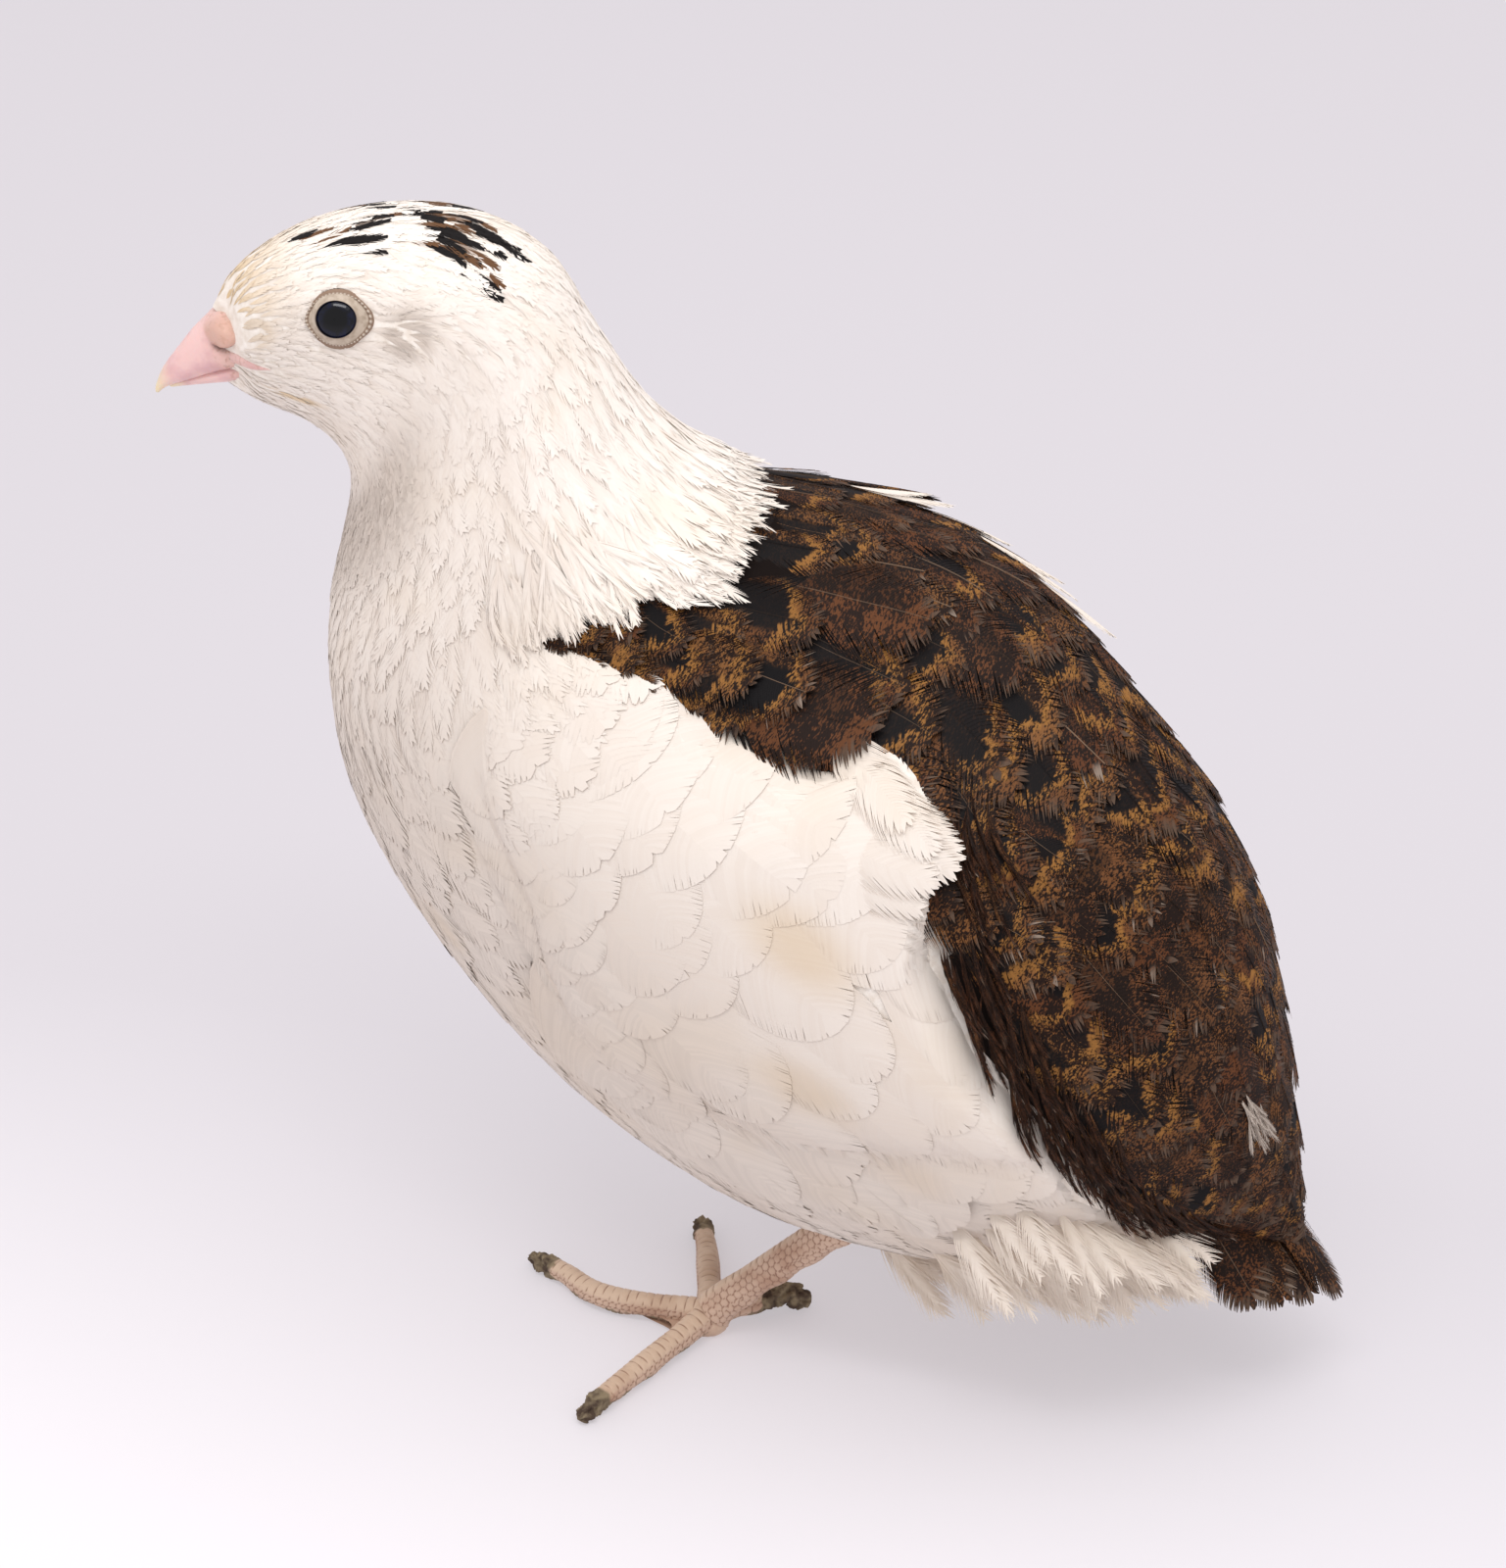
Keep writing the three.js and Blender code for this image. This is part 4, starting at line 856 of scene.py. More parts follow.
def scaled_leg_skin():
    """Horny scales over flesh: tan-pink plates, browner in the grooves, with dried dirt at the claws."""
    material, tree, shader, place, vane = finish(
        "scaled_leg_skin", ("vane",), Roughness=0.55, Specular_IOR_Level=0.3)
    plate, dirt, front = vane
    patches = add(tree, "TexNoise", {"Vector": place, "Scale": per_mm(2.4), "Detail": 3.0})[0]
    grain = add(tree, "TexNoise", {"Vector": place, "Scale": per_mm(0.25), "Detail": 3.0})[0]
    crumbs = add(tree, "TexNoise", {"Vector": place, "Scale": per_mm(0.6), "Detail": 4.0})[0]
    crust = add(tree, "Math", (crumbs, 0.7, dirt), **TIMES_PLUS)[0]
    dusty = add(tree, "MapRange", (crumbs, 0.4, 0.62))[0]
    soil = add(tree, "Mix", {0: dusty, 6: "#4d3e33", 7: "#8a7b63"}, **COLOURS)[2]
    coats = [
        (add(tree, "MapRange", (patches, 0.42, 0.65), **SOFT)[0], "#b4917b"),
        (add(tree, "Math", (front, 0.4), **TIMES)[0], "#dac4aa"),
        (add(tree, "MapRange", (plate, 0.8, 0.1, 0.0, 0.85), **SOFT)[0], "#8f6a57"),
        (add(tree, "MapRange", (crust, 0.72, 0.92), **SOFT)[0], soil),
    ]
    dress(tree, shader, "#cbae99", coats, grain, 0.05)
    rough = add(tree, "MapRange", (crust, 0.72, 0.92, 0.5, 0.85), **SOFT)[0]
    tree.links.new(rough, shader["Roughness"])
    return material


WHITE = white_contour_feather()
BROWN = brown_back_feather()
DOWN = grey_down()
BILL = horn_and_skin_bill()
EYEBALL = wet_eyeball()
EYELID = bare_eyelid_skin()
LEG = scaled_leg_skin()


# ---------------------------------------------------------------- under the feathers
def face_sink(t, q):
    """The feathering stands back round the bill's base, where its flaps show."""
    height = height_of(q)
    return -1.1 * smooth(t, 1.3, 0.4) * smooth(height, 0.98, 0.86) * smooth(height, 0.15, 0.3)


def down_layer(name, node, stations, low, high, lift, dark, rows=100, columns=80, closed=False):
    """A skin of down that the feathers stand on; low(t) and high(t) give its edges as turns."""
    t, share = grid(rows, columns, stations, closed=closed)
    q = low(t) + (high(t) - low(t)) * share
    mark = np.zeros((*t.shape, 3))
    mark[..., 0] = dark
    quads = grid_quads(rows, columns, closed)
    mesh_piece(name, skin(t, q, lift(t, q)), quads, DOWN, (node,), {"mark": mark})


def body_down(t, q):
    """How the body's down lies: just under the feathers, and deep under the tail's, wing's and back's."""
    flat = -0.08 - 0.05 * smooth(t, 5, 7) - 0.7 * smooth(t, 13, 15)
    return flat + face_sink(t, q) + under_wing(t, q) - 1.5 * under_brown(t, q)


def back_down(t, q):
    """How the back's dark down lies: it rises from under the white feathers at the back's front edge."""
    return -1.6 + 1.4 * smooth(t - between(BROWN_FRONT, height_of(q)), -0.1, 0.2)


def wing_down(t, q):
    """The wing's down, which sinks along the lower edge so that it doesn't show under the feathers."""
    edge = smooth(height_of(q) - between(WING_LOW, t), 0.07, 0.03)
    return wing_rise(t, q) - 0.3 + tucked(t, q) - 0.5 * edge


def down_layers():
    """The down of the body, the back and both wings."""
    down_layer("body_down", "white_plumage", (0.15, LAST),
               lambda t: 0 * t, lambda t: 0 * t + 2, body_down, 0.0, closed=True)
    down_layer("back_down", "brown_back", (7.5, 15.6),
               lambda t: between(BROWN_LOW, t) + 0.06 - 0.05 * smooth(t, 11, 11.6),
               lambda t: 1.94 - between(BROWN_LOW, t) + 0.05 * smooth(t, 11, 11.6), back_down, 1.0)
    for name, side in SIDES.items():
        down_layer(f"{name}_wing_down", f"{name}_wing", (WING_START + 0.1, WING_END - 0.1),
                   lambda t: on_side(between(WING_LOW, t) + 0.015, side),
                   lambda t: on_side(between(BROWN_LOW, t) + 0.01, side), wing_down, 0.0, 56, 36)


# ---------------------------------------------------------------- white plumage
def eye_distance(t, q):
    """Millimetres from the nearer eye's middle, measured on the skin."""
    here = skin(t, q, np.zeros_like(t))
    return np.minimum(*[np.linalg.norm(here - skin(EYE_STATION, on_side(EYE_HEIGHT, side), 0.0), axis=-1)
                        for side in (LEFT, RIGHT)])


def gape_edges(t):
    """Heights of the lower and upper edges of the mouth's bare corner at a station."""
    stations, high, low = zip(*GAPE)
    return np.interp(t, stations, low), np.interp(t, stations, high)


def is_bare(t, q):
    """Whether a place is on the bare skin of the mouth's corner or of the flaps over the nostrils."""
    low, high = gape_edges(t)
    here = skin(t, q, np.zeros_like(t))
    x, z, long, tall = FLAP
    flap = np.hypot((here[..., 0] - x) / long, (here[..., 2] - z) / tall) < 0.95
    return flap | ((t < GAPE[-1][0]) & (height_of(q) > low) & (height_of(q) < high))


def either_side(rng, count):
    """Left or right for each of count feathers, by chance."""
    return np.where(rng.random(count) < 0.5, LEFT, RIGHT)


def white_piece(name, tract, dark=None):
    """A white tract, stained by where it lies; dark is how dark each feather is, from crown_mark."""
    mark = white_mark(tract["t"], tract["q"])
    if dark is not None:
        mark[..., 0] = dark[:, None]
    feather_piece(name, WHITE, tract, mark)


def even_white_piece(name, tract, buff, grey):
    """A white tract that is equally buff and grey all over."""
    mark = np.zeros((*tract["share"].shape, 3))
    mark[..., 1:] = (buff, grey)
    feather_piece(name, WHITE, tract, mark)


def head_feathers():
    """Small soft feathers, lying flat, that part round the eyes and pass under the eyelids' rims."""
    rng = np.random.default_rng(11)
    t, q = rows_of_roots(rng, 0.08, 5.2, 0.95, 1.0, lambda t, q: (
        (t > 0.02) & (eye_distance(t, q) > 2.6) & ~is_bare(t, q)))
    n = len(t)
    size = (0.35 + 0.65 * smooth(t, 0, 2.8)) * (0.7 + 0.3 * smooth(eye_distance(t, q), 3.0, 7))
    waves = 0.3 * np.sin(2.1 * t + 9 * q) * smooth(t, 1.5, 3)
    waves = waves + 0.5 * np.sin(3.1 * t + 31 * q) * smooth(ear_distance(skin(t, q, 0 * t)), 1.2, 0.7)
    tract = plumage(rng, "head", t, q, 5.0 * size * rng.uniform(0.8, 1.25, n), 1.35 * size,
                    waves + rng.normal(0, 0.09, n), -0.05, rng.uniform(0.01, 0.07, n), face_sink,
                    bend=rng.normal(0, 0.3, n))
    near = eye_distance(tract["t"], tract["q"])
    tract["rise"] = tract["rise"] - 1.3 * smooth(near, 2.8, 2.2)
    crust = 0.45 * (rng.random(n) < 0.5) * smooth(t, 0.3, 0.1) * (height_of(q) > 0.6)
    marked = crown_mark(rng, t + 0.3 + 0.2 * smooth(t, 2.2, 3.6), q)
    white_piece("head_feathers", tract, np.maximum(marked, crust))


def neck_feathers():
    """Longer, hair-like feathers, whose loose ends fall over the front of the brown back."""
    rng = np.random.default_rng(12)
    t, q = rows_of_roots(rng, 4.9, 7.9, 2.0, 1.8, lambda t, q: (
        ~is_brown(t + 0.66 + 0.35 * smooth(height_of(q), 0.78, 0.68), q)))
    n = len(t)
    raised = 0.5 * smooth(t, 6.6, 7.2) * smooth(height_of(q), 0.66, 0.76)
    tract = plumage(rng, "neck", t, q, rng.uniform(7.5, 10.5, n) * (0.75 + 0.35 * smooth(t, 5, 7)), 2.7,
                    rng.normal(0, 0.1, n), -0.12, rng.uniform(0.02, 0.12, n) + raised, over_wing,
                    bend=rng.normal(0, 0.3, n))
    white_piece("neck_feathers", tract)
    n = 480
    height = 1 - 0.41 * rng.random(n) ** 1.1
    length = rng.uniform(5.0, 13.0, n)
    t = between(BROWN_FRONT, height) - length / STATION_LENGTH + rng.normal(-0.03, 0.09, n)
    tract = plumage(rng, "neck edge", t, on_side(height, either_side(rng, n)), length,
                    rng.uniform(1.1, 1.8, n), rng.normal(0.02, 0.16, n), 0.1,
                    rng.uniform(0.5, 1.1, n) * (0.6 + 0.4 * smooth(height, 0.6, 0.75)),
                    bend=rng.normal(0, 0.4, n))
    white_piece("neck_edge_feathers", tract)


def body_feathers():
    """Broad feathers of the breast, belly and flanks, whose barbs close up into smooth vanes."""
    rng = np.random.default_rng(13)
    t, q = rows_of_roots(rng, 7.1, 15.2, 4.0, 4.4, lambda t, q: (
        ~is_brown(t, q, np.where(t < 8.3, -1.0, -5.0)) & (~is_wing(t, q, 2.0) | (t < 8.1))))
    sides = np.where(np.mod(q, 2) < 1, RIGHT, LEFT)
    for name, side in SIDES.items():
        own_t, own_q = t[sides == side], q[sides == side]
        n = len(own_t)
        tract = plumage(rng, "body", own_t, own_q, rng.uniform(13, 17, n), rng.uniform(6.5, 8, n),
                        rng.normal(0, 0.08, n), -0.15, rng.uniform(0.05, 0.16, n), over_wing,
                        bend=rng.normal(0, 0.2, n))
        white_piece(f"{name}_body_feathers", tract)


# Tiers of feathers on a folded wing: station of the roots, shares of the wing's depth from the first
# root to the last, how many, length, width, and turn towards the back in radians.
WING_TIERS = [
    (7.9, 0.2, 0.8, 4, 13, 11, 0.05), (8.3, 0.15, 0.85, 5, 14, 11, 0.05),
    (8.7, 0.1, 0.9, 5, 15, 12, 0.04), (9.1, 0.08, 0.92, 6, 16, 12, 0.0),
    (9.5, 0.06, 0.92, 6, 17, 12, -0.03), (10.0, 0.05, 0.9, 6, 19, 11, -0.06),
    (10.5, 0.05, 0.9, 6, 21, 10, -0.1), (11.0, 0.05, 0.9, 6, 20, 9.5, -0.12),
    (11.4, 0.05, 0.9, 6, 19, 9, -0.15), (11.9, 0.3, 1.0, 5, 15, 8, -0.1),
    (12.3, 0.4, 1.1, 4, 13, 7, -0.1),
]
# The turn, in radians, that lays the lowest feathers along the wing's lower edge.
EDGE_TURN = -0.42


def wing_feathers():
    """The folded wing's closed, flat vanes, tier over tier, longest in the rear."""
    for name, side in SIDES.items():
        rng = np.random.default_rng(20 + side)
        tiers = []
        for station, first, last, count, length, width, turn in WING_TIERS:
            t = station + rng.normal(0, 0.08, count)
            share = np.linspace(first, last, count) + rng.normal(0, 0.04, count)
            low = between(WING_LOW, t)
            q = on_side(low + (between(BROWN_LOW, t) - low) * share, side)
            turn = turn + EDGE_TURN * np.clip(1 - share, 0, 1) ** 1.5 * smooth(t, 10.4, 9.4)
            size = rng.uniform(0.88, 1.12, count)
            turn = turn + rng.normal(0, 0.09, count)
            tiers.append(np.stack([t, q, length * size, width * size, turn], -1))
        t = np.tile(np.arange(7.75, 10.6, 0.26), 2)
        low = between(WING_LOW, t) + np.repeat([0.03, 0.0], len(t) // 2)
        follow = EDGE_TURN * smooth(t, 10.6, 9.8)
        tiers.append(np.stack([t, on_side(low, side), 12 + 0 * t, 8.5 + 0 * t, follow], -1))
        t, q, length, width, turn = np.concatenate(tiers).T
        tract = plumage(rng, "wing", t, q, length, width, turn, -0.12, rng.uniform(0.06, 0.14, len(t)),
                        lambda t, q: wing_rise(t, q) + tucked(t, q), bend=rng.normal(-0.1, 0.08, len(t)))
        white_piece(f"{name}_wing_feathers", tract)


def wing_tips():
    """Split tips of the inner wing feathers, which lie over the brown at the wing's upper edge."""
    for name, side in SIDES.items():
        rng = np.random.default_rng(24 + side)
        t = np.array([9.65, 9.9, 10.1, 10.15, 10.2, 10.2, 10.2])
        height = np.array([0.735, 0.73, 0.725, 0.715, 0.7, 0.68, 0.655])
        turn = np.array([-0.04, 0.02, 0.1, 0.2, 0.25, 0.27, 0.27])
        lift = rng.uniform(0.4, 0.9, 7)
        tract = plumage(rng, "wing tip", t, on_side(height, side), rng.uniform(13, 15, 7),
                        rng.uniform(4.5, 6, 7), turn, -0.3, lift, wing_rise, bend=0.1)
        white_piece(f"{name}_wing_tips", tract)


def primaries():
    """Long flight feathers, of which only the lower edge and the wing's point show."""
    for name, side in SIDES.items():
        rng = np.random.default_rng(28 + side)
        t = np.array([9.2, 9.9, 10.5, 11.0, 11.4])
        height = between(WING_LOW, t) + np.array([0.015, 0.03, 0.03, 0.035, 0.04])
        turn = np.array([0.05, 0.0, -0.16, -0.24, -0.3])
        length = np.array([19, 21, 23, 23, 22.0])
        tip = np.array([0.9, 1.0, 1.1, 1.2, 1.3])
        tract = plumage(rng, "primary", t, on_side(height, side), length, 7.0, turn, 0.5, tip, bend=-0.12)
        white_piece(f"{name}_primaries", tract)


def vent_feathers():
    """Loose soft feathers that hang under the tail, down-like at their ends."""
    rng = np.random.default_rng(41)
    n = 270
    side = either_side(rng, n)
    height = rng.uniform(0.05, 0.5, n)
    t = rng.uniform(12.8, 15.0, n)
    root = skin(t, on_side(height, side), -0.8 * np.ones(n))
    heading = np.stack([rng.uniform(0.75, 1.15, n), 0.03 * root[:, 1] + rng.normal(0, 0.12, n),
                        -rng.uniform(0.4, 0.8, n)], -1)
    outward = np.stack([rng.normal(0.25, 0.1, n), 0.8 * side, rng.normal(0.35, 0.1, n)], -1)
    tract = hung(rng, "vent", root, heading, np.cross(heading, outward), rng.uniform(7, 11, n),
                 rng.uniform(3.5, 5.5, n), rng.uniform(0, 2.0, n))
    even_white_piece("vent_feathers", tract, 0.12, 0.45)


# ---------------------------------------------------------------- brown back
def brown_piece(name, rng, tract, black, rust, nodes=(), rarity=5.0):
    """black and rust give each feather's chance of a black middle and how rusty it is.

    rarity is how rare pale tips and shafts are: 1 for as many pale as dark, more for fewer.
    """
    count = len(tract["vane"])
    style = np.stack([
        (rng.random(count) < black) * rng.uniform(0.8, 1.0, count),
        np.clip(rng.normal(rust, 0.25, count), 0, 1),
        rng.random(count) ** rarity,
    ], -1)
    mark = np.broadcast_to(style[:, None, :], (*tract["share"].shape, 3))
    feather_piece(name, BROWN, tract, mark, nodes)


# The lower edge of the brown feathers' roots, which runs on under the wing's split tips.
HIDDEN_LOW = [place for place in BROWN_LOW if not 9.9 < place[0] < 11.3]


def is_back_root(t, q):
    """Whether a brown feather can have its root at a place, so that it doesn't reach over the white."""
    height = height_of(q)
    low = between(HIDDEN_LOW, t) + 0.035 - 0.025 * smooth(t, 10.9, 11.5)
    return (t + 0.45 > between(BROWN_FRONT, height)) & (height > low)


def back_feathers():
    """Broad brown feathers with loose edges, smaller in front, which stand off one another."""
    rng = np.random.default_rng(31)
    t, q = rows_of_roots(rng, 7.2, 15.2, 4.8, 5.4, is_back_root)
    n = len(t)
    front = smooth(t, 10, 8)
    rise = rng.uniform(0.35, 0.8, n) * smooth(t, 7.6, 9)
    tract = plumage(rng, "back", t, q, rng.uniform(13.5, 16.5, n) - 2.5 * front,
                    rng.uniform(8.5, 10.5, n) - 1.5 * front, rng.normal(0.05, 0.1, n), -0.3, rise + 0.15,
                    bend=rng.normal(0, 0.15, n))
    black = 0.75 - 0.25 * smooth(t, 10, 12.5) - 0.4 * smooth(height_of(q), 0.84, 0.9) * smooth(t, 9.6, 8.8)
    rust = 0.8 - 0.4 * smooth(t, 10.5, 13.5) * smooth(height_of(q), 0.88, 0.72)
    brown_piece("back_feathers", rng, tract, black, rust)


# Long feathers of the shoulder that hang over the wing: station, height above the brown's lower
# edge, length, width, and turn towards the back in radians.
SCAPULARS = [
    (6.85, 0.03, 10, 5.5, 0.1), (7.0, 0.055, 10, 6, 0.12), (7.2, 0.035, 11, 6, 0.12),
    (7.35, 0.065, 11, 6.5, 0.14), (7.55, 0.04, 12, 7, 0.12), (7.75, 0.06, 12, 7.5, 0.14),
    (8.1, 0.05, 12, 8, 0.12), (8.5, 0.05, 12, 8.5, 0.12), (8.95, 0.045, 15, 10.5, 0.22),
    (7.1, 0.09, 11, 6.5, 0.1), (7.4, 0.11, 12, 7.5, 0.1), (7.7, 0.12, 12, 8, 0.1),
    (8.7, 0.16, 15, 10.5, 0.1), (9.5, 0.2, 15, 10, 0.05), (10.9, 0.07, 12, 8, 0.1),
    (8.1, 0.12, 13, 9, 0.1), (10.35, -0.06, 14, 9, 0.1), (10.7, -0.055, 13, 9, 0.2),
    (10.95, -0.02, 13, 9, 0.2),
]


def scapulars():
    """The shoulder's long feathers, which hang over the wing, the same on both sides."""
    rng = np.random.default_rng(32)
    rows = []
    for t, above, length, width, turn in SCAPULARS:
        for side in (LEFT, RIGHT):
            rows.append((t, float(on_side(between(BROWN_LOW, t) + above, side)), length, width, turn))
    t, q, length, width, turn = np.array(rows).T
    lift = 0.5 + 1.0 * smooth(t, 7.4, 8.4) - 0.6 * smooth(t, 9.2, 9.8)
    tip = lift + rng.uniform(0, 0.5, len(t))
    tract = plumage(rng, "scapular", t, q, length, width, turn, lift - 1.3, tip)
    brown_piece("scapulars", rng, tract, 0.8, 0.85)


def flank_fringe():
    """Hair-like edges of the lower back feathers, which fall over the white of the wing."""
    rng = np.random.default_rng(33)
    n = 360
    t = np.tile(np.linspace(10.6, 14.7, n // 2), 2) + rng.normal(0, 0.08, n)
    side = np.repeat([LEFT, RIGHT], n // 2)
    q = on_side(between(BROWN_LOW, t) + rng.uniform(0.01, 0.07, n), side)
    turn = np.interp(t, (11.2, 11.5, 13.4, 14.8), (-0.55, -0.5, -0.45, -0.2)) + rng.normal(0, 0.14, n)
    tract = plumage(rng, "flank fringe", t, q, rng.uniform(6, 10.5, n), rng.uniform(0.8, 1.5, n), turn, -0.6,
                    rng.uniform(0.2, 0.7, n), wing_rise, bend=rng.normal(0.4, 0.15, n))
    brown_piece("flank_fringe", rng, tract, 0.0, 0.1, rarity=1.0)


def back_edge_plumes():
    """A few white-edged feathers that stand off along the back's far side."""
    rng = np.random.default_rng(37)
    n = 8
    t = np.linspace(8.9, 10.6, n) + rng.normal(0, 0.1, n)
    q = 1 - rng.uniform(0.07, 0.11, n)
    tract = plumage(rng, "back edge", t, q, rng.uniform(8, 10, n), rng.uniform(2.4, 3.2, n),
                    rng.normal(-0.1, 0.06, n), 0.3, rng.uniform(1.2, 1.8, n))
    white_piece("back_edge_plumes", tract)


# ---------------------------------------------------------------- tail
TAIL_ROOT = np.array([52.3, 0.0, 29.2])
TAIL_FEATHERS = 7
# How far the tail points down, and how far apart its feathers fan out, in degrees.
TAIL_PITCH, TAIL_SPREAD = 50, 7.0


def tail_feathers():
    """Feathers in a shallow roof, the middle one on top, with coverts over their roots."""
    rng = np.random.default_rng(35)
    outward = np.arange(TAIL_FEATHERS) - (TAIL_FEATHERS - 1) / 2
    outward = outward[np.argsort(-np.abs(outward))]
    flat = np.abs(outward)
    spread, pitch = np.radians(TAIL_SPREAD * outward), np.radians(flat - TAIL_PITCH)
    heading = np.stack([np.cos(spread) * np.cos(pitch), np.sin(spread) * np.cos(pitch), np.sin(pitch)], -1)
    across = np.stack([-np.sin(spread), np.cos(spread), -0.32 * outward], -1)
    root = TAIL_ROOT + np.stack([-1.2 * flat, 2.0 * outward, -0.7 * flat], -1)
    tract = hung(rng, "tail", root, heading, -across, 23.5 - 2.2 * flat, 7.2, 1.0, TAIL_ROUND_FROM)
    brown_piece("tail_feathers", rng, tract, 0.3, 0.75, ("tail",), 0.3)
    n = 50
    t = rng.uniform(13.6, 15.6, n)
    q = 1 + rng.uniform(-0.46, 0.46, n)
    tract = plumage(rng, "tail covert", t, q, rng.uniform(10, 13, n), rng.uniform(6.5, 8.5, n),
                    rng.normal(0, 0.12, n), -0.3, rng.uniform(0.5, 1.2, n))
    brown_piece("tail_coverts", rng, tract, 0.35, 0.4)


def under_tail_fluff():
    """Pale loose feathers between the tail and its lower coverts."""
    rng = np.random.default_rng(42)
    n = 24
    side = either_side(rng, n)
    root = TAIL_ROOT + np.stack([rng.uniform(-9, -2, n), side * rng.uniform(0.5, 4.5, n),
                                 rng.uniform(-9, -4, n)], -1)
    heading = np.stack([rng.uniform(0.6, 0.85, n), 0.05 * side + rng.normal(0, 0.08, n),
                        -rng.uniform(0.6, 0.9, n)], -1)
    outward = np.stack([0.3 * np.ones(n), 0.8 * side, 0.4 * np.ones(n)], -1)
    tract = hung(rng, "under tail", root, heading, np.cross(heading, outward), rng.uniform(9, 13, n),
                 rng.uniform(1.8, 3, n), 0.5)
    even_white_piece("under_tail_fluff", tract, 0.1, 0.0)


def rump_tuft():
    """A small white tuft among the brown feathers of the rump."""
    rng = np.random.default_rng(43)
    n = 24
    t = 13.9 + rng.uniform(0, 0.35, n)
    q = on_side(0.83 + rng.uniform(-0.02, 0.02, n), LEFT)
    tract = plumage(rng, "rump tuft", t, q, rng.uniform(2.5, 5.5, n), rng.uniform(0.5, 1.0, n),
                    rng.normal(0.0, 0.2, n), 0.7, rng.uniform(1.2, 1.7, n))
    even_white_piece("rump_tuft", tract, 0.0, 0.9)


# ---------------------------------------------------------------- head parts
FULL_TURN = (0, 2 * np.pi)


def bell(x, middle, width):
    """1 at the middle, falling off smoothly to both sides."""
    return np.exp(-(((x - middle) / width) ** 2))


def wrapped(angle):
    """An angle brought between minus half a turn and half a turn."""
    return np.angle(np.exp(1j * angle))


def eyeball(name, side):
    """A ball whose points know how far out from the middle of its iris they are."""
    centre, look = eye_centre(side)
    rows, columns = 28, 48
    polar, turn = grid(rows, columns, (0.01, np.pi - 0.01), FULL_TURN, closed=True)
    first = unit(np.cross(look, (0, 0, 1)))
    second = np.cross(look, first)
    points = (np.cos(polar)[..., None] * look + (np.sin(polar) * np.cos(turn))[..., None] * first
              + (np.sin(polar) * np.sin(turn))[..., None] * second)
    vane = np.stack([np.sin(polar), np.cos(polar), 0 * polar], -1)
    quads = grid_quads(rows, columns, True)
    mesh_piece(name, centre + EYE_RADIUS * points, quads, EYEBALL, (name,), {"vane": vane})


# An eyelid's section: share of the way out, height above the skin, and 1 where it follows the eye.
LID_SECTION = [
    (-0.08, -0.5, 1), (0.0, 0.02, 1), (0.05, 0.2, 1), (0.12, 0.26, 0.9), (0.2, 0.16, 0.75),
    (0.35, 0.2, 0.5), (0.6, 0.24, 0.2), (0.7, 0.2, 0.1), (0.82, 0.42, 0), (0.94, 0.25, 0), (1.05, -0.35, 0),
]
# The half length and half height of its opening and of its outline.
LID_OPENING, LID_OUTLINE = (1.92, 1.76), (3.05, 2.4)
LID_BEADS, LID_WRINKLES = 46, 34
BEADS_AT = 0.82


def eyelid(name, side, node):
    """A flat bare ring, longer behind the eye, with a row of beads round its rim."""
    centre, look = eye_centre(side)
    along, around, normal = skin_steps(EYE_STATION, on_side(EYE_HEIGHT, side))
    tailward = unit(along)
    up = np.cross(tailward, normal) * side
    out, rise, follow = zip(*LID_SECTION)
    rows, columns = 36, 184
    share, turn = grid(rows, columns, (out[0], out[-1]), FULL_TURN, closed=True)
    inner = np.hypot(LID_OPENING[0] * np.cos(turn), LID_OPENING[1] * np.sin(turn))
    outer = np.hypot(LID_OUTLINE[0] * np.cos(turn), LID_OUTLINE[1] * np.sin(turn))
    outer = outer + 0.55 * bell(wrapped(turn), 0, 0.4) + 0.2 * bell(wrapped(turn - np.pi), 0, 0.3)
    radius = inner + (outer - inner) * share
    on_eye = np.interp(share, out, follow)
    bead = 0.5 + 0.5 * np.cos(LID_BEADS * turn)
    rim = bell(share, BEADS_AT, 0.09)
    wrinkles = 0.02 * np.cos(LID_WRINKLES * turn + 5 * share) * smooth(share, 0.2, 0.4)
    height = np.interp(share, out, rise) + 0.16 * (bead - 0.5) * rim + wrinkles
    flat = (np.cos(turn) * radius)[..., None] * tailward + (np.sin(turn) * radius)[..., None] * up
    dt, dq = as_step(along, around, flat)
    ground = skin(EYE_STATION + dt, on_side(EYE_HEIGHT, side) + dq, height)
    ball = np.sqrt(np.maximum((EYE_RADIUS + 0.02) ** 2 - radius**2, 1.0))
    over_eye = centre + flat + (ball + height)[..., None] * look
    points = ground + (over_eye - ground) * on_eye[..., None]
    # Nothing but the edge that is tucked in behind the rim may sink into the eyeball.
    away = np.linalg.norm(points - centre, axis=-1, keepdims=True)
    nearest = np.where(share > 0.01, EYE_RADIUS + 0.05, 0)[..., None]
    points = centre + (points - centre) * np.maximum(1, nearest / away)
    vane = np.stack([share, bead * rim, 0 * share], -1)
    mesh_piece(name, points, grid_quads(rows, columns, True), EYELID, (node,), {"vane": vane})


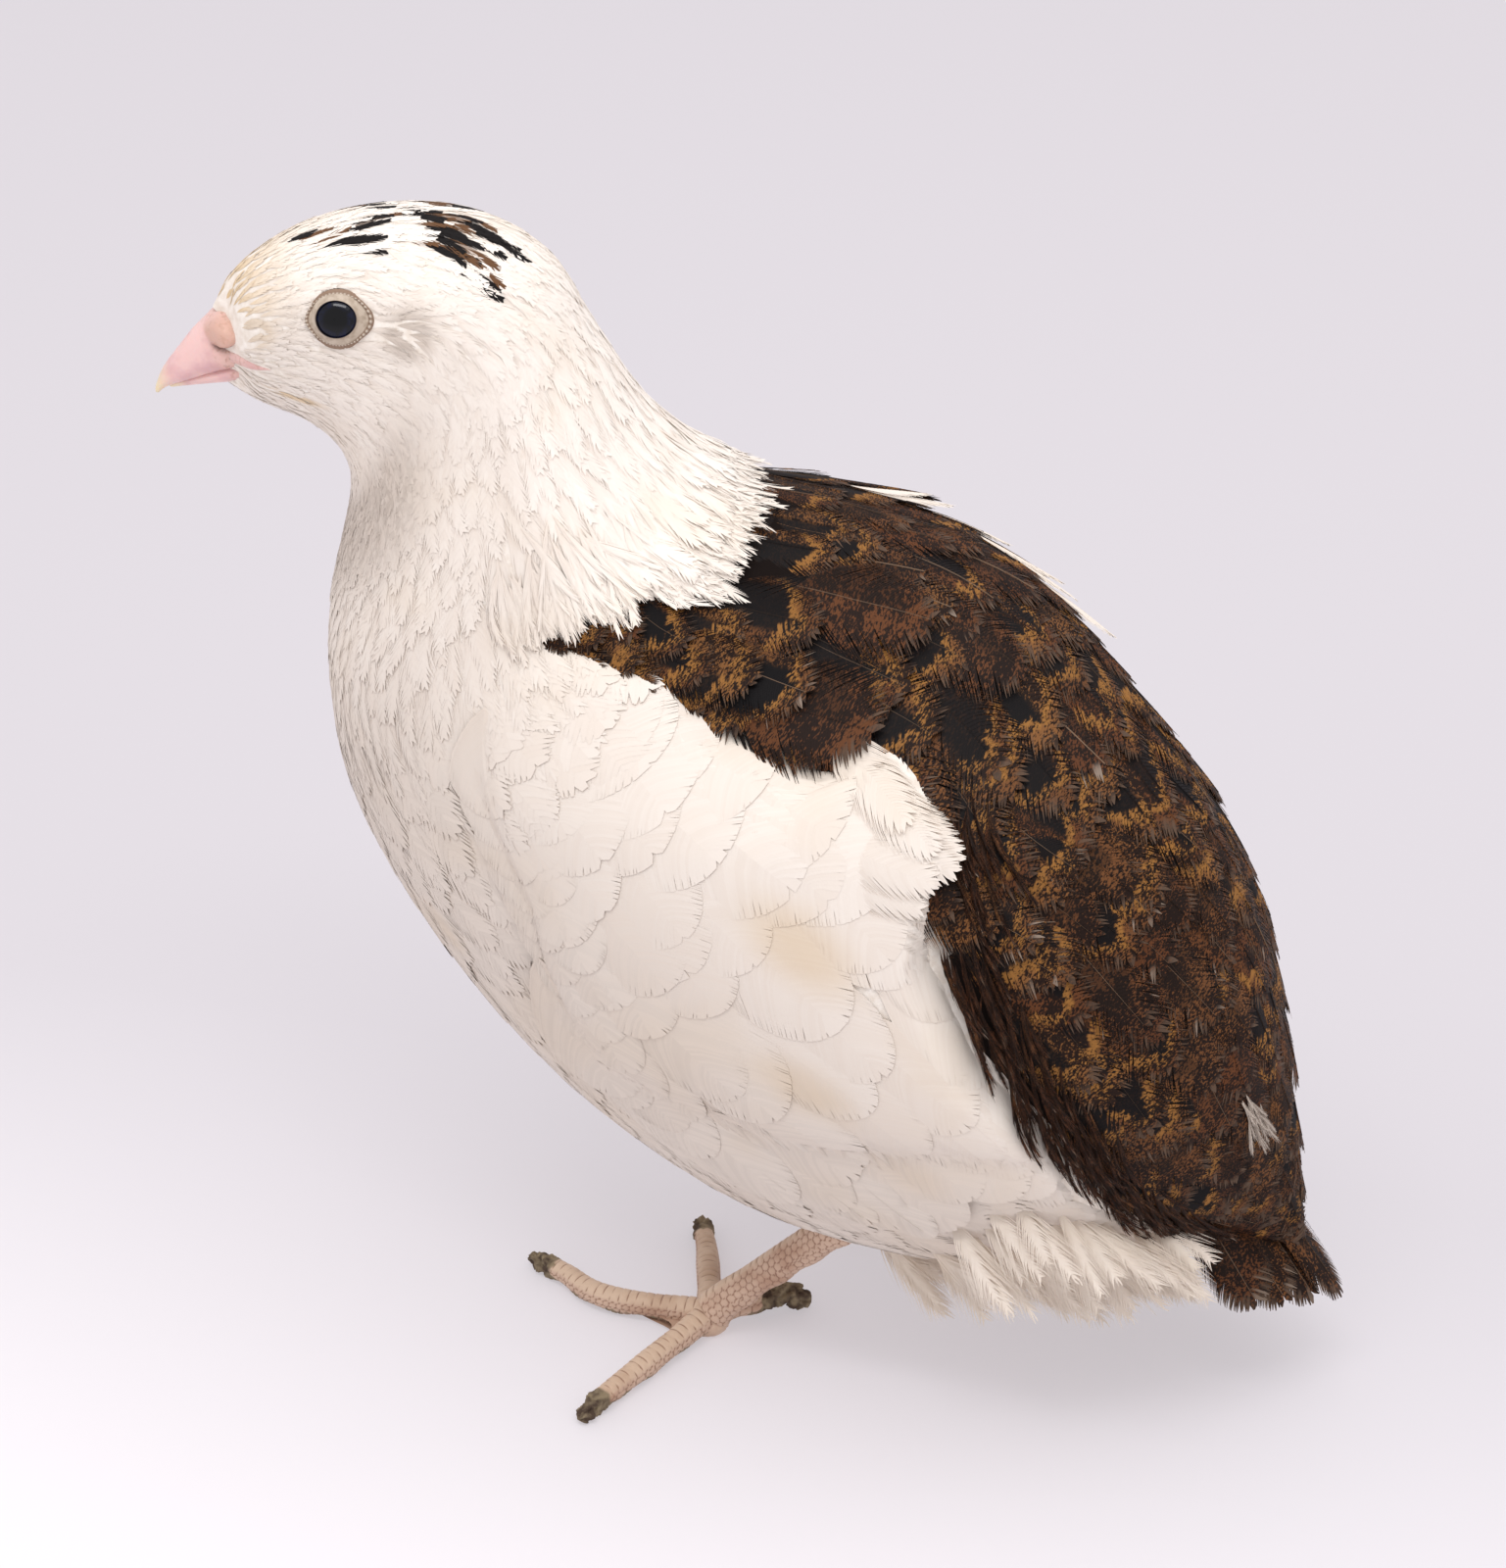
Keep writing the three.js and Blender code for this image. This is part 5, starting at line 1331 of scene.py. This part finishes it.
def bill_half(name, stations, flaps):
    """One half of the bill; flaps adds the swollen flap over each nostril and the slit under it."""
    rows, columns = 110, 90
    t, q = grid(rows, columns, (0, len(stations) - 1), (0, 2), closed=True)
    points = on_loft(stations, t, q)
    share = t / (len(stations) - 1)
    middle = points.mean(1, keepdims=True)
    points = middle + (points - middle) * np.sqrt(np.clip((1 - share) / 0.04, 0, 1))[..., None]
    height = height_of(q)
    shaded_slit, flap = 0 * t, 0 * t
    if flaps:
        x, z, long, tall = FLAP
        dx, dz = (points[..., 0] - x) / long, (points[..., 2] - z) / tall
        far, side = np.hypot(dx, dz), np.sign(points[..., 1])
        outer = smooth(np.abs(points[..., 1]), 0.6, 1.8)
        flap = smooth(far, 1.05, 0.85) * outer
        rear_and_low = smooth(dx - dz, -0.1, 0.9)
        # The slit under each flap is grooved a little, and its dark colour is painted shade.
        shaded_slit = bell(far, 1.04, 0.11) * outer * rear_and_low
        dome = np.clip(1 - far**2, 0, 1) ** (1.5 - 1.0 * rear_and_low)
        points[..., 1] += side * (1.5 * dome - 0.5 * shaded_slit) * outer
    edge = smooth(height, 0.3, 0.05) if flaps else smooth(height, 0.7, 0.95)
    base = smooth(share, 0.42, 0.2) * (1 - 0.6 * flap)
    layers = {"vane": np.stack([share, height, flap], -1), "barb": np.stack([shaded_slit, edge, base], -1)}
    mesh_piece(name, points, grid_quads(rows, columns, True), BILL, (name,), layers)


def gape(name, side):
    """The bare pink wedge behind the bill, which narrows to the corner of the mouth."""
    rows, columns = 32, 16
    t, share = grid(rows, columns, (0, GAPE[-1][0]))
    low, high = gape_edges(t)
    q = on_side(low + (high - low) * share, side)
    arch = 4 * share * (1 - share)
    points = skin(t, q, face_sink(t, q) - 0.25 + 0.4 * np.sqrt(arch))
    # The wedge's lower edge, the mouth's line, takes the slit's dark coat as painted shade.
    line = smooth(share, 0.2, 0.08)
    zero = 0 * t
    layers = {"vane": np.stack([zero + 0.3, share, zero], -1),
              "barb": np.stack([0.4 * line, 0.5 * line, zero + 0.6], -1)}
    mesh_piece(name, points, grid_quads(rows, columns), BILL, (), layers)


# ---------------------------------------------------------------- legs
TOE_RADIUS, TARSUS_RADIUS = 1.25, 1.9
FEET = {"left_leg": (-0.4, -14.0), "right_leg": (18.0, 14.5)}
# Each toe's middle and tip from the middle of the foot, its height at the middle, and the share of it
# where the dirt begins.
TOES = {
    "left_leg": [((-4, 10.7), (-6.9, 17), 1.35, 0.78), ((-12, -0.3), (-23.4, 4.7), 1.5, 0.8),
                 ((-4.7, -11.1), (-8.2, -19.8), 1.4, 0.8), ((6.4, 5.8), (9.6, 6.8), 1.9, 0.45)],
    "right_leg": [((-7, -4.5), (-14, -7), 1.35, 0.78), ((-11.6, 0.3), (-22.5, -1), 1.5, 0.8),
                  ((-4.7, 11.1), (-8.2, 19.8), 1.4, 0.8), ((6.4, -5.8), (9.6, -6.8), 1.9, 0.45)],
}
# Places along the tarsus from the middle of the foot, and shares of the radii along toes and tarsus.
TARSUS = [(0, 0, 2.2), (2.2, 0.5, 4.6), (6, 1, 8.3), (12, 1, 14.4), (18, 0.6, 20.4)]
TOE_RADII = [(0, 1.3), (0.25, 1.02), (0.5, 1.06), (0.78, 0.86), (0.84, 0.9), (0.93, 0.66), (1, 0.34)]
TARSUS_RADII = [(0, 1.15), (0.25, 0.95), (0.6, 1), (1, 1.15)]
# The cross plates go this far round from the front, in radians.
TOE_PLATES, TARSUS_PLATES = 1.15, 0.45
PLATE_LENGTH, PAD_LENGTH = 0.95, 5.2
TOE_SCALE, TARSUS_SCALE = 0.75, 0.95
# The mesh's points are this far apart, which is close enough for the grooves between scales.
SCALE_STEP = 0.165
# Where the dirt begins on a tube that has none: past its end.
CLEAN = 1.1


def hexagons(x, y, pitch):
    """0 in the grooves between six-sided scales and 1 on them."""
    high = pitch * math.sqrt(3)

    def border(x, y):
        dx = np.abs(np.mod(x + pitch / 2, pitch) - pitch / 2)
        dy = np.abs(np.mod(y + high / 2, high) - high / 2)
        return np.maximum(dx, dx / 2 + dy * math.sqrt(3) / 2) / (pitch / 2)

    return smooth(np.minimum(border(x, y), border(x + pitch / 2, y + high / 2)), 1.0, 0.7)


def scaled_tube(rng, path, radii, radius, plates, scale, dirt_from):
    """A tube of skin along a path: cross plates in front, small scales at the sides, pads below."""
    path = np.array(path, float)
    fine = spline(path, np.linspace(0, len(path) - 1, 400))
    travelled = np.concatenate([[0], np.cumsum(np.linalg.norm(np.diff(fine, axis=0), axis=1))])
    rows, columns = round(travelled[-1] / SCALE_STEP), round(2 * np.pi * radius / SCALE_STEP)
    x = np.linspace(0, travelled[-1], rows)
    centre = np.stack([np.interp(x, travelled, fine[:, k]) for k in range(3)], -1)
    forward = unit(np.gradient(centre, axis=0))
    across = unit(np.cross(forward, (0, 0, 1)))
    up = np.cross(across, forward)
    angle = np.linspace(*FULL_TURN, columns, endpoint=False)[None, :]
    x, u = x[:, None], (x / travelled[-1])[:, None]
    thick = radius * between(radii, u[:, 0])[:, None]
    from_top = np.abs(wrapped(angle - np.pi / 2))
    in_front = smooth(from_top, plates, plates - 0.2)
    pace = np.mod(x / PLATE_LENGTH + 0.25 * np.cos(from_top), 1.0)
    cross_plate = smooth(np.abs(pace - 0.5), 0.5, 0.38)
    small = hexagons(x + 0 * angle, (angle - np.pi / 2) * thick, scale)
    plate = small + (cross_plate - small) * in_front
    pad = 0.12 * np.cos(2 * np.pi * x / PAD_LENGTH) * smooth(from_top, 1.9, 2.4)
    under = 0.5 * smooth(from_top, 1.5, 2.1) * (dirt_from < 1)
    dirt = 0.75 * smooth(u, dirt_from - 0.04, dirt_from + 0.06) + under
    waves = zip((2.3, 4.1, 6.7), (2, 3, 5), rng.uniform(0, 6, 3))
    lumps = sum(0.5**k * np.sin(x * f + 3 * np.cos(angle * g) + p) for k, (f, g, p) in enumerate(waves))
    caked = 0.24 * lumps * smooth(u, dirt_from, dirt_from + 0.1)
    reach = thick + (0.13 * (plate - 0.6) + 0.06 * pace * in_front + pad + caked)
    ends = np.sqrt(np.clip(np.minimum(u / 0.02, (1 - u) / 0.03), 0, 1))
    points = centre[:, None, :] + ((np.cos(angle) * reach * ends)[..., None] * across[:, None, :]
                                   + (np.sin(angle) * reach * ends)[..., None] * up[:, None, :])
    return points, np.stack([plate, dirt + 0 * plate, in_front + 0 * plate], -1)


def even_skin(points, plate, dirt, front):
    """Points with the same three numbers for the leg skin's material on each."""
    return points, np.zeros(points.shape) + (plate, dirt, front)


def sole_pad(x, y):
    """The round pad where the toes meet."""
    polar, turn = grid(28, 48, (0.02, np.pi - 0.02), FULL_TURN, closed=True)
    swell = 1 + 0.05 * hexagons(polar * 2.8, turn * 2.6, 0.9)
    pad = np.stack([x - 0.4 + 2.5 * swell * np.sin(polar) * np.cos(turn),
                    y + 2.4 * swell * np.sin(polar) * np.sin(turn), 1.3 + 1.7 * swell * np.cos(polar)], -1)
    return even_skin(pad, 0.8, 0.15, 0.3)


def toe_web(x, y, middle_toe, outer_toe):
    """The skin between two toes, tighter halfway between them."""
    share, around = grid(16, 32, (0.02, 0.8), FULL_TURN, closed=True)
    side = 0.5 - 0.5 * np.cos(around)
    tight = share * (1 - 0.45 * np.sin(np.pi * side))
    (mx, my), (ox, oy) = middle_toe, outer_toe
    web = np.stack([x + tight * (mx + (ox - mx) * side), y + tight * (my + (oy - my) * side),
                    0.95 + 0.5 * signed_power(np.sin(around), 0.5)], -1)
    return even_skin(web, 0.55, 0.3, 0.0)


def leg(node):
    """A foot flat on the ground with three toes forward and one back, its tarsus, web and sole pad."""
    rng = np.random.default_rng(len(node))
    x, y = FEET[node]
    tubes = []
    for middle, tip, rise, dirt_from in TOES[node]:
        start = np.array([x, y, 2.0])
        bend = np.array([x + middle[0], y + middle[1], rise])
        end = np.array([x + tip[0], y + tip[1], 0.75])
        knuckle = bend + (end - bend) * 0.55
        knuckle[2] = 1.35
        path = [start, bend, knuckle, end]
        tubes.append(scaled_tube(rng, path, TOE_RADII, TOE_RADIUS, TOE_PLATES, TOE_SCALE, dirt_from))
    path = np.array(TARSUS) + (x, y, 0)
    tubes.append(scaled_tube(rng, path, TARSUS_RADII, TARSUS_RADIUS, TARSUS_PLATES, TARSUS_SCALE, CLEAN))
    tubes.append(sole_pad(x, y))
    tubes.append(toe_web(x, y, TOES[node][1][0], TOES[node][2][0]))
    points, looks, quads, first = [], [], [], 0
    for tube, look in tubes:
        rows, columns = tube.shape[:2]
        points.append(tube.reshape(-1, 3))
        looks.append(look.reshape(-1, 3))
        quads.append(grid_quads(rows, columns, True) + first)
        first += rows * columns
    points = np.concatenate(points)
    points[:, 2] = np.maximum(points[:, 2], 0.0)
    layers = {"vane": np.concatenate(looks)}
    mesh_piece(f"{node}_skin", points, np.concatenate(quads), LEG, (node,), layers)


# ---------------------------------------------------------------- studio
def studio_floor():
    """A pale sheet that curves up far from the bird. It glows faintly as painted light, which pales the
    shadows on it, and it darkens away from the bird as painted shade.
    """
    rows, columns = 48, 3
    bend, side = grid(rows, columns, along=(-1, 1))
    rising = np.clip((bend - 0.6) / 0.4, 0, 1) * np.pi / 2
    y = -1.6 + 3.2 * np.clip(bend / 0.6, 0, 1) + 0.9 * np.sin(rising)
    points = np.stack([2.4 * side, y, 0.9 * (1 - np.cos(rising))], -1)
    # The sheet's glow is painted light: no lamp stands behind it.
    material, tree, shader, place = finish(
        "glowing_floor_sheet", Roughness=0.85, Specular_IOR_Level=0.2,
        Emission_Color=linear("#f8f2f7"), Emission_Strength=0.45)
    grain = add(tree, "TexNoise", {"Vector": place, "Scale": per_mm(120.0)})[0]
    # Painted shade: the floor's colour darkens behind the bird, as light falls off away from the lamps.
    behind = add(tree, "MapRange", (add(tree, "SeparateXYZ", (place,))[1], -0.1, 0.05), **SOFT)[0]
    far = add(tree, "Math", (grain, 0.1, behind), **TIMES_PLUS)[0]
    tree.links.new(add(tree, "Mix", {0: far, 6: "#c2c0c3", 7: "#949196"}, **COLOURS)[2], shader["Base Color"])
    mesh = bpy.data.meshes.new("floor")
    mesh.from_pydata(points.reshape(-1, 3).tolist(), [], grid_quads(rows, columns).tolist())
    mesh.polygons.foreach_set("use_smooth", np.ones(len(mesh.polygons), bool))
    mesh.materials.append(material)
    floor = bpy.data.objects.new("floor", mesh)
    bpy.context.collection.objects.link(floor)


# Softboxes: where each stands in metres, its width and depth, and its power in watts.
SOFTBOXES = [
    ("top_softbox", (0.1, 0.0, 0.9), 1.0, 1.0, 3.0),
    ("strip_lamp", (0.02, -0.25, 0.6), 0.4, 0.07, 0.8),
]
LIT_HEIGHT = 0.06
SKY_STRENGTH = 0.93
# The camera's azimuth and elevation in degrees, its distance and what it looks at in metres, and its
# lens in millimetres.
AZIMUTH, ELEVATION, DISTANCE, SEEN_HEIGHT = 18, 30, 0.35, 0.062
LENS, SENSOR = 76.5, 36


def lights_and_camera():
    """A bright even sky, a large softbox above, and a strip that lights the bird's left side."""
    world = bpy.data.worlds.new("studio")
    bpy.context.scene.world = world
    world.use_nodes = True
    background = world.node_tree.nodes["Background"]
    background.inputs[0].default_value = linear("#f5f2f3")
    background.inputs[1].default_value = SKY_STRENGTH
    for name, spot, width, depth, power in SOFTBOXES:
        lamp = bpy.data.lights.new(name, "AREA")
        lamp.shape = "RECTANGLE"
        lamp.size, lamp.size_y = width, depth
        lamp.energy = power
        light = bpy.data.objects.new(name, lamp)
        light.location = spot
        aim = Vector((0, 0, LIT_HEIGHT)) - Vector(spot)
        light.rotation_euler = aim.to_track_quat("-Z", "Y").to_euler()
        bpy.context.collection.objects.link(light)
    camera = bpy.data.cameras.new("camera")
    camera.sensor_width, camera.lens = SENSOR, LENS
    camera.clip_start = 0.01
    seen = bpy.data.objects.new("camera", camera)
    azimuth, elevation = math.radians(AZIMUTH), math.radians(ELEVATION)
    back = Vector((math.sin(azimuth) * math.cos(elevation), -math.cos(azimuth) * math.cos(elevation),
                   math.sin(elevation)))
    seen.location = Vector((SHIFT[0] * MM, SHIFT[1] * MM, SEEN_HEIGHT)) + back * DISTANCE
    seen.rotation_euler = (-back).to_track_quat("-Z", "Y").to_euler()
    bpy.context.collection.objects.link(seen)
    bpy.context.scene.camera = seen
    bpy.context.scene.view_settings.view_transform = "Standard"


lights_and_camera()
studio_floor()
down_layers()
head_feathers()
neck_feathers()
body_feathers()
wing_feathers()
wing_tips()
primaries()
vent_feathers()
under_tail_fluff()
back_feathers()
scapulars()
flank_fringe()
back_edge_plumes()
tail_feathers()
rump_tuft()
for which, one_side in SIDES.items():
    eyeball(f"{which}_eye", one_side)
    eyelid(f"{which}_eyelid_rim", one_side, f"{which}_eyelid")
    gape(f"{which}_gape", one_side)
bill_half("upper_bill", UPPER_BILL, True)
bill_half("lower_bill", LOWER_BILL, False)
for which in SIDES:
    leg(f"{which}_leg")
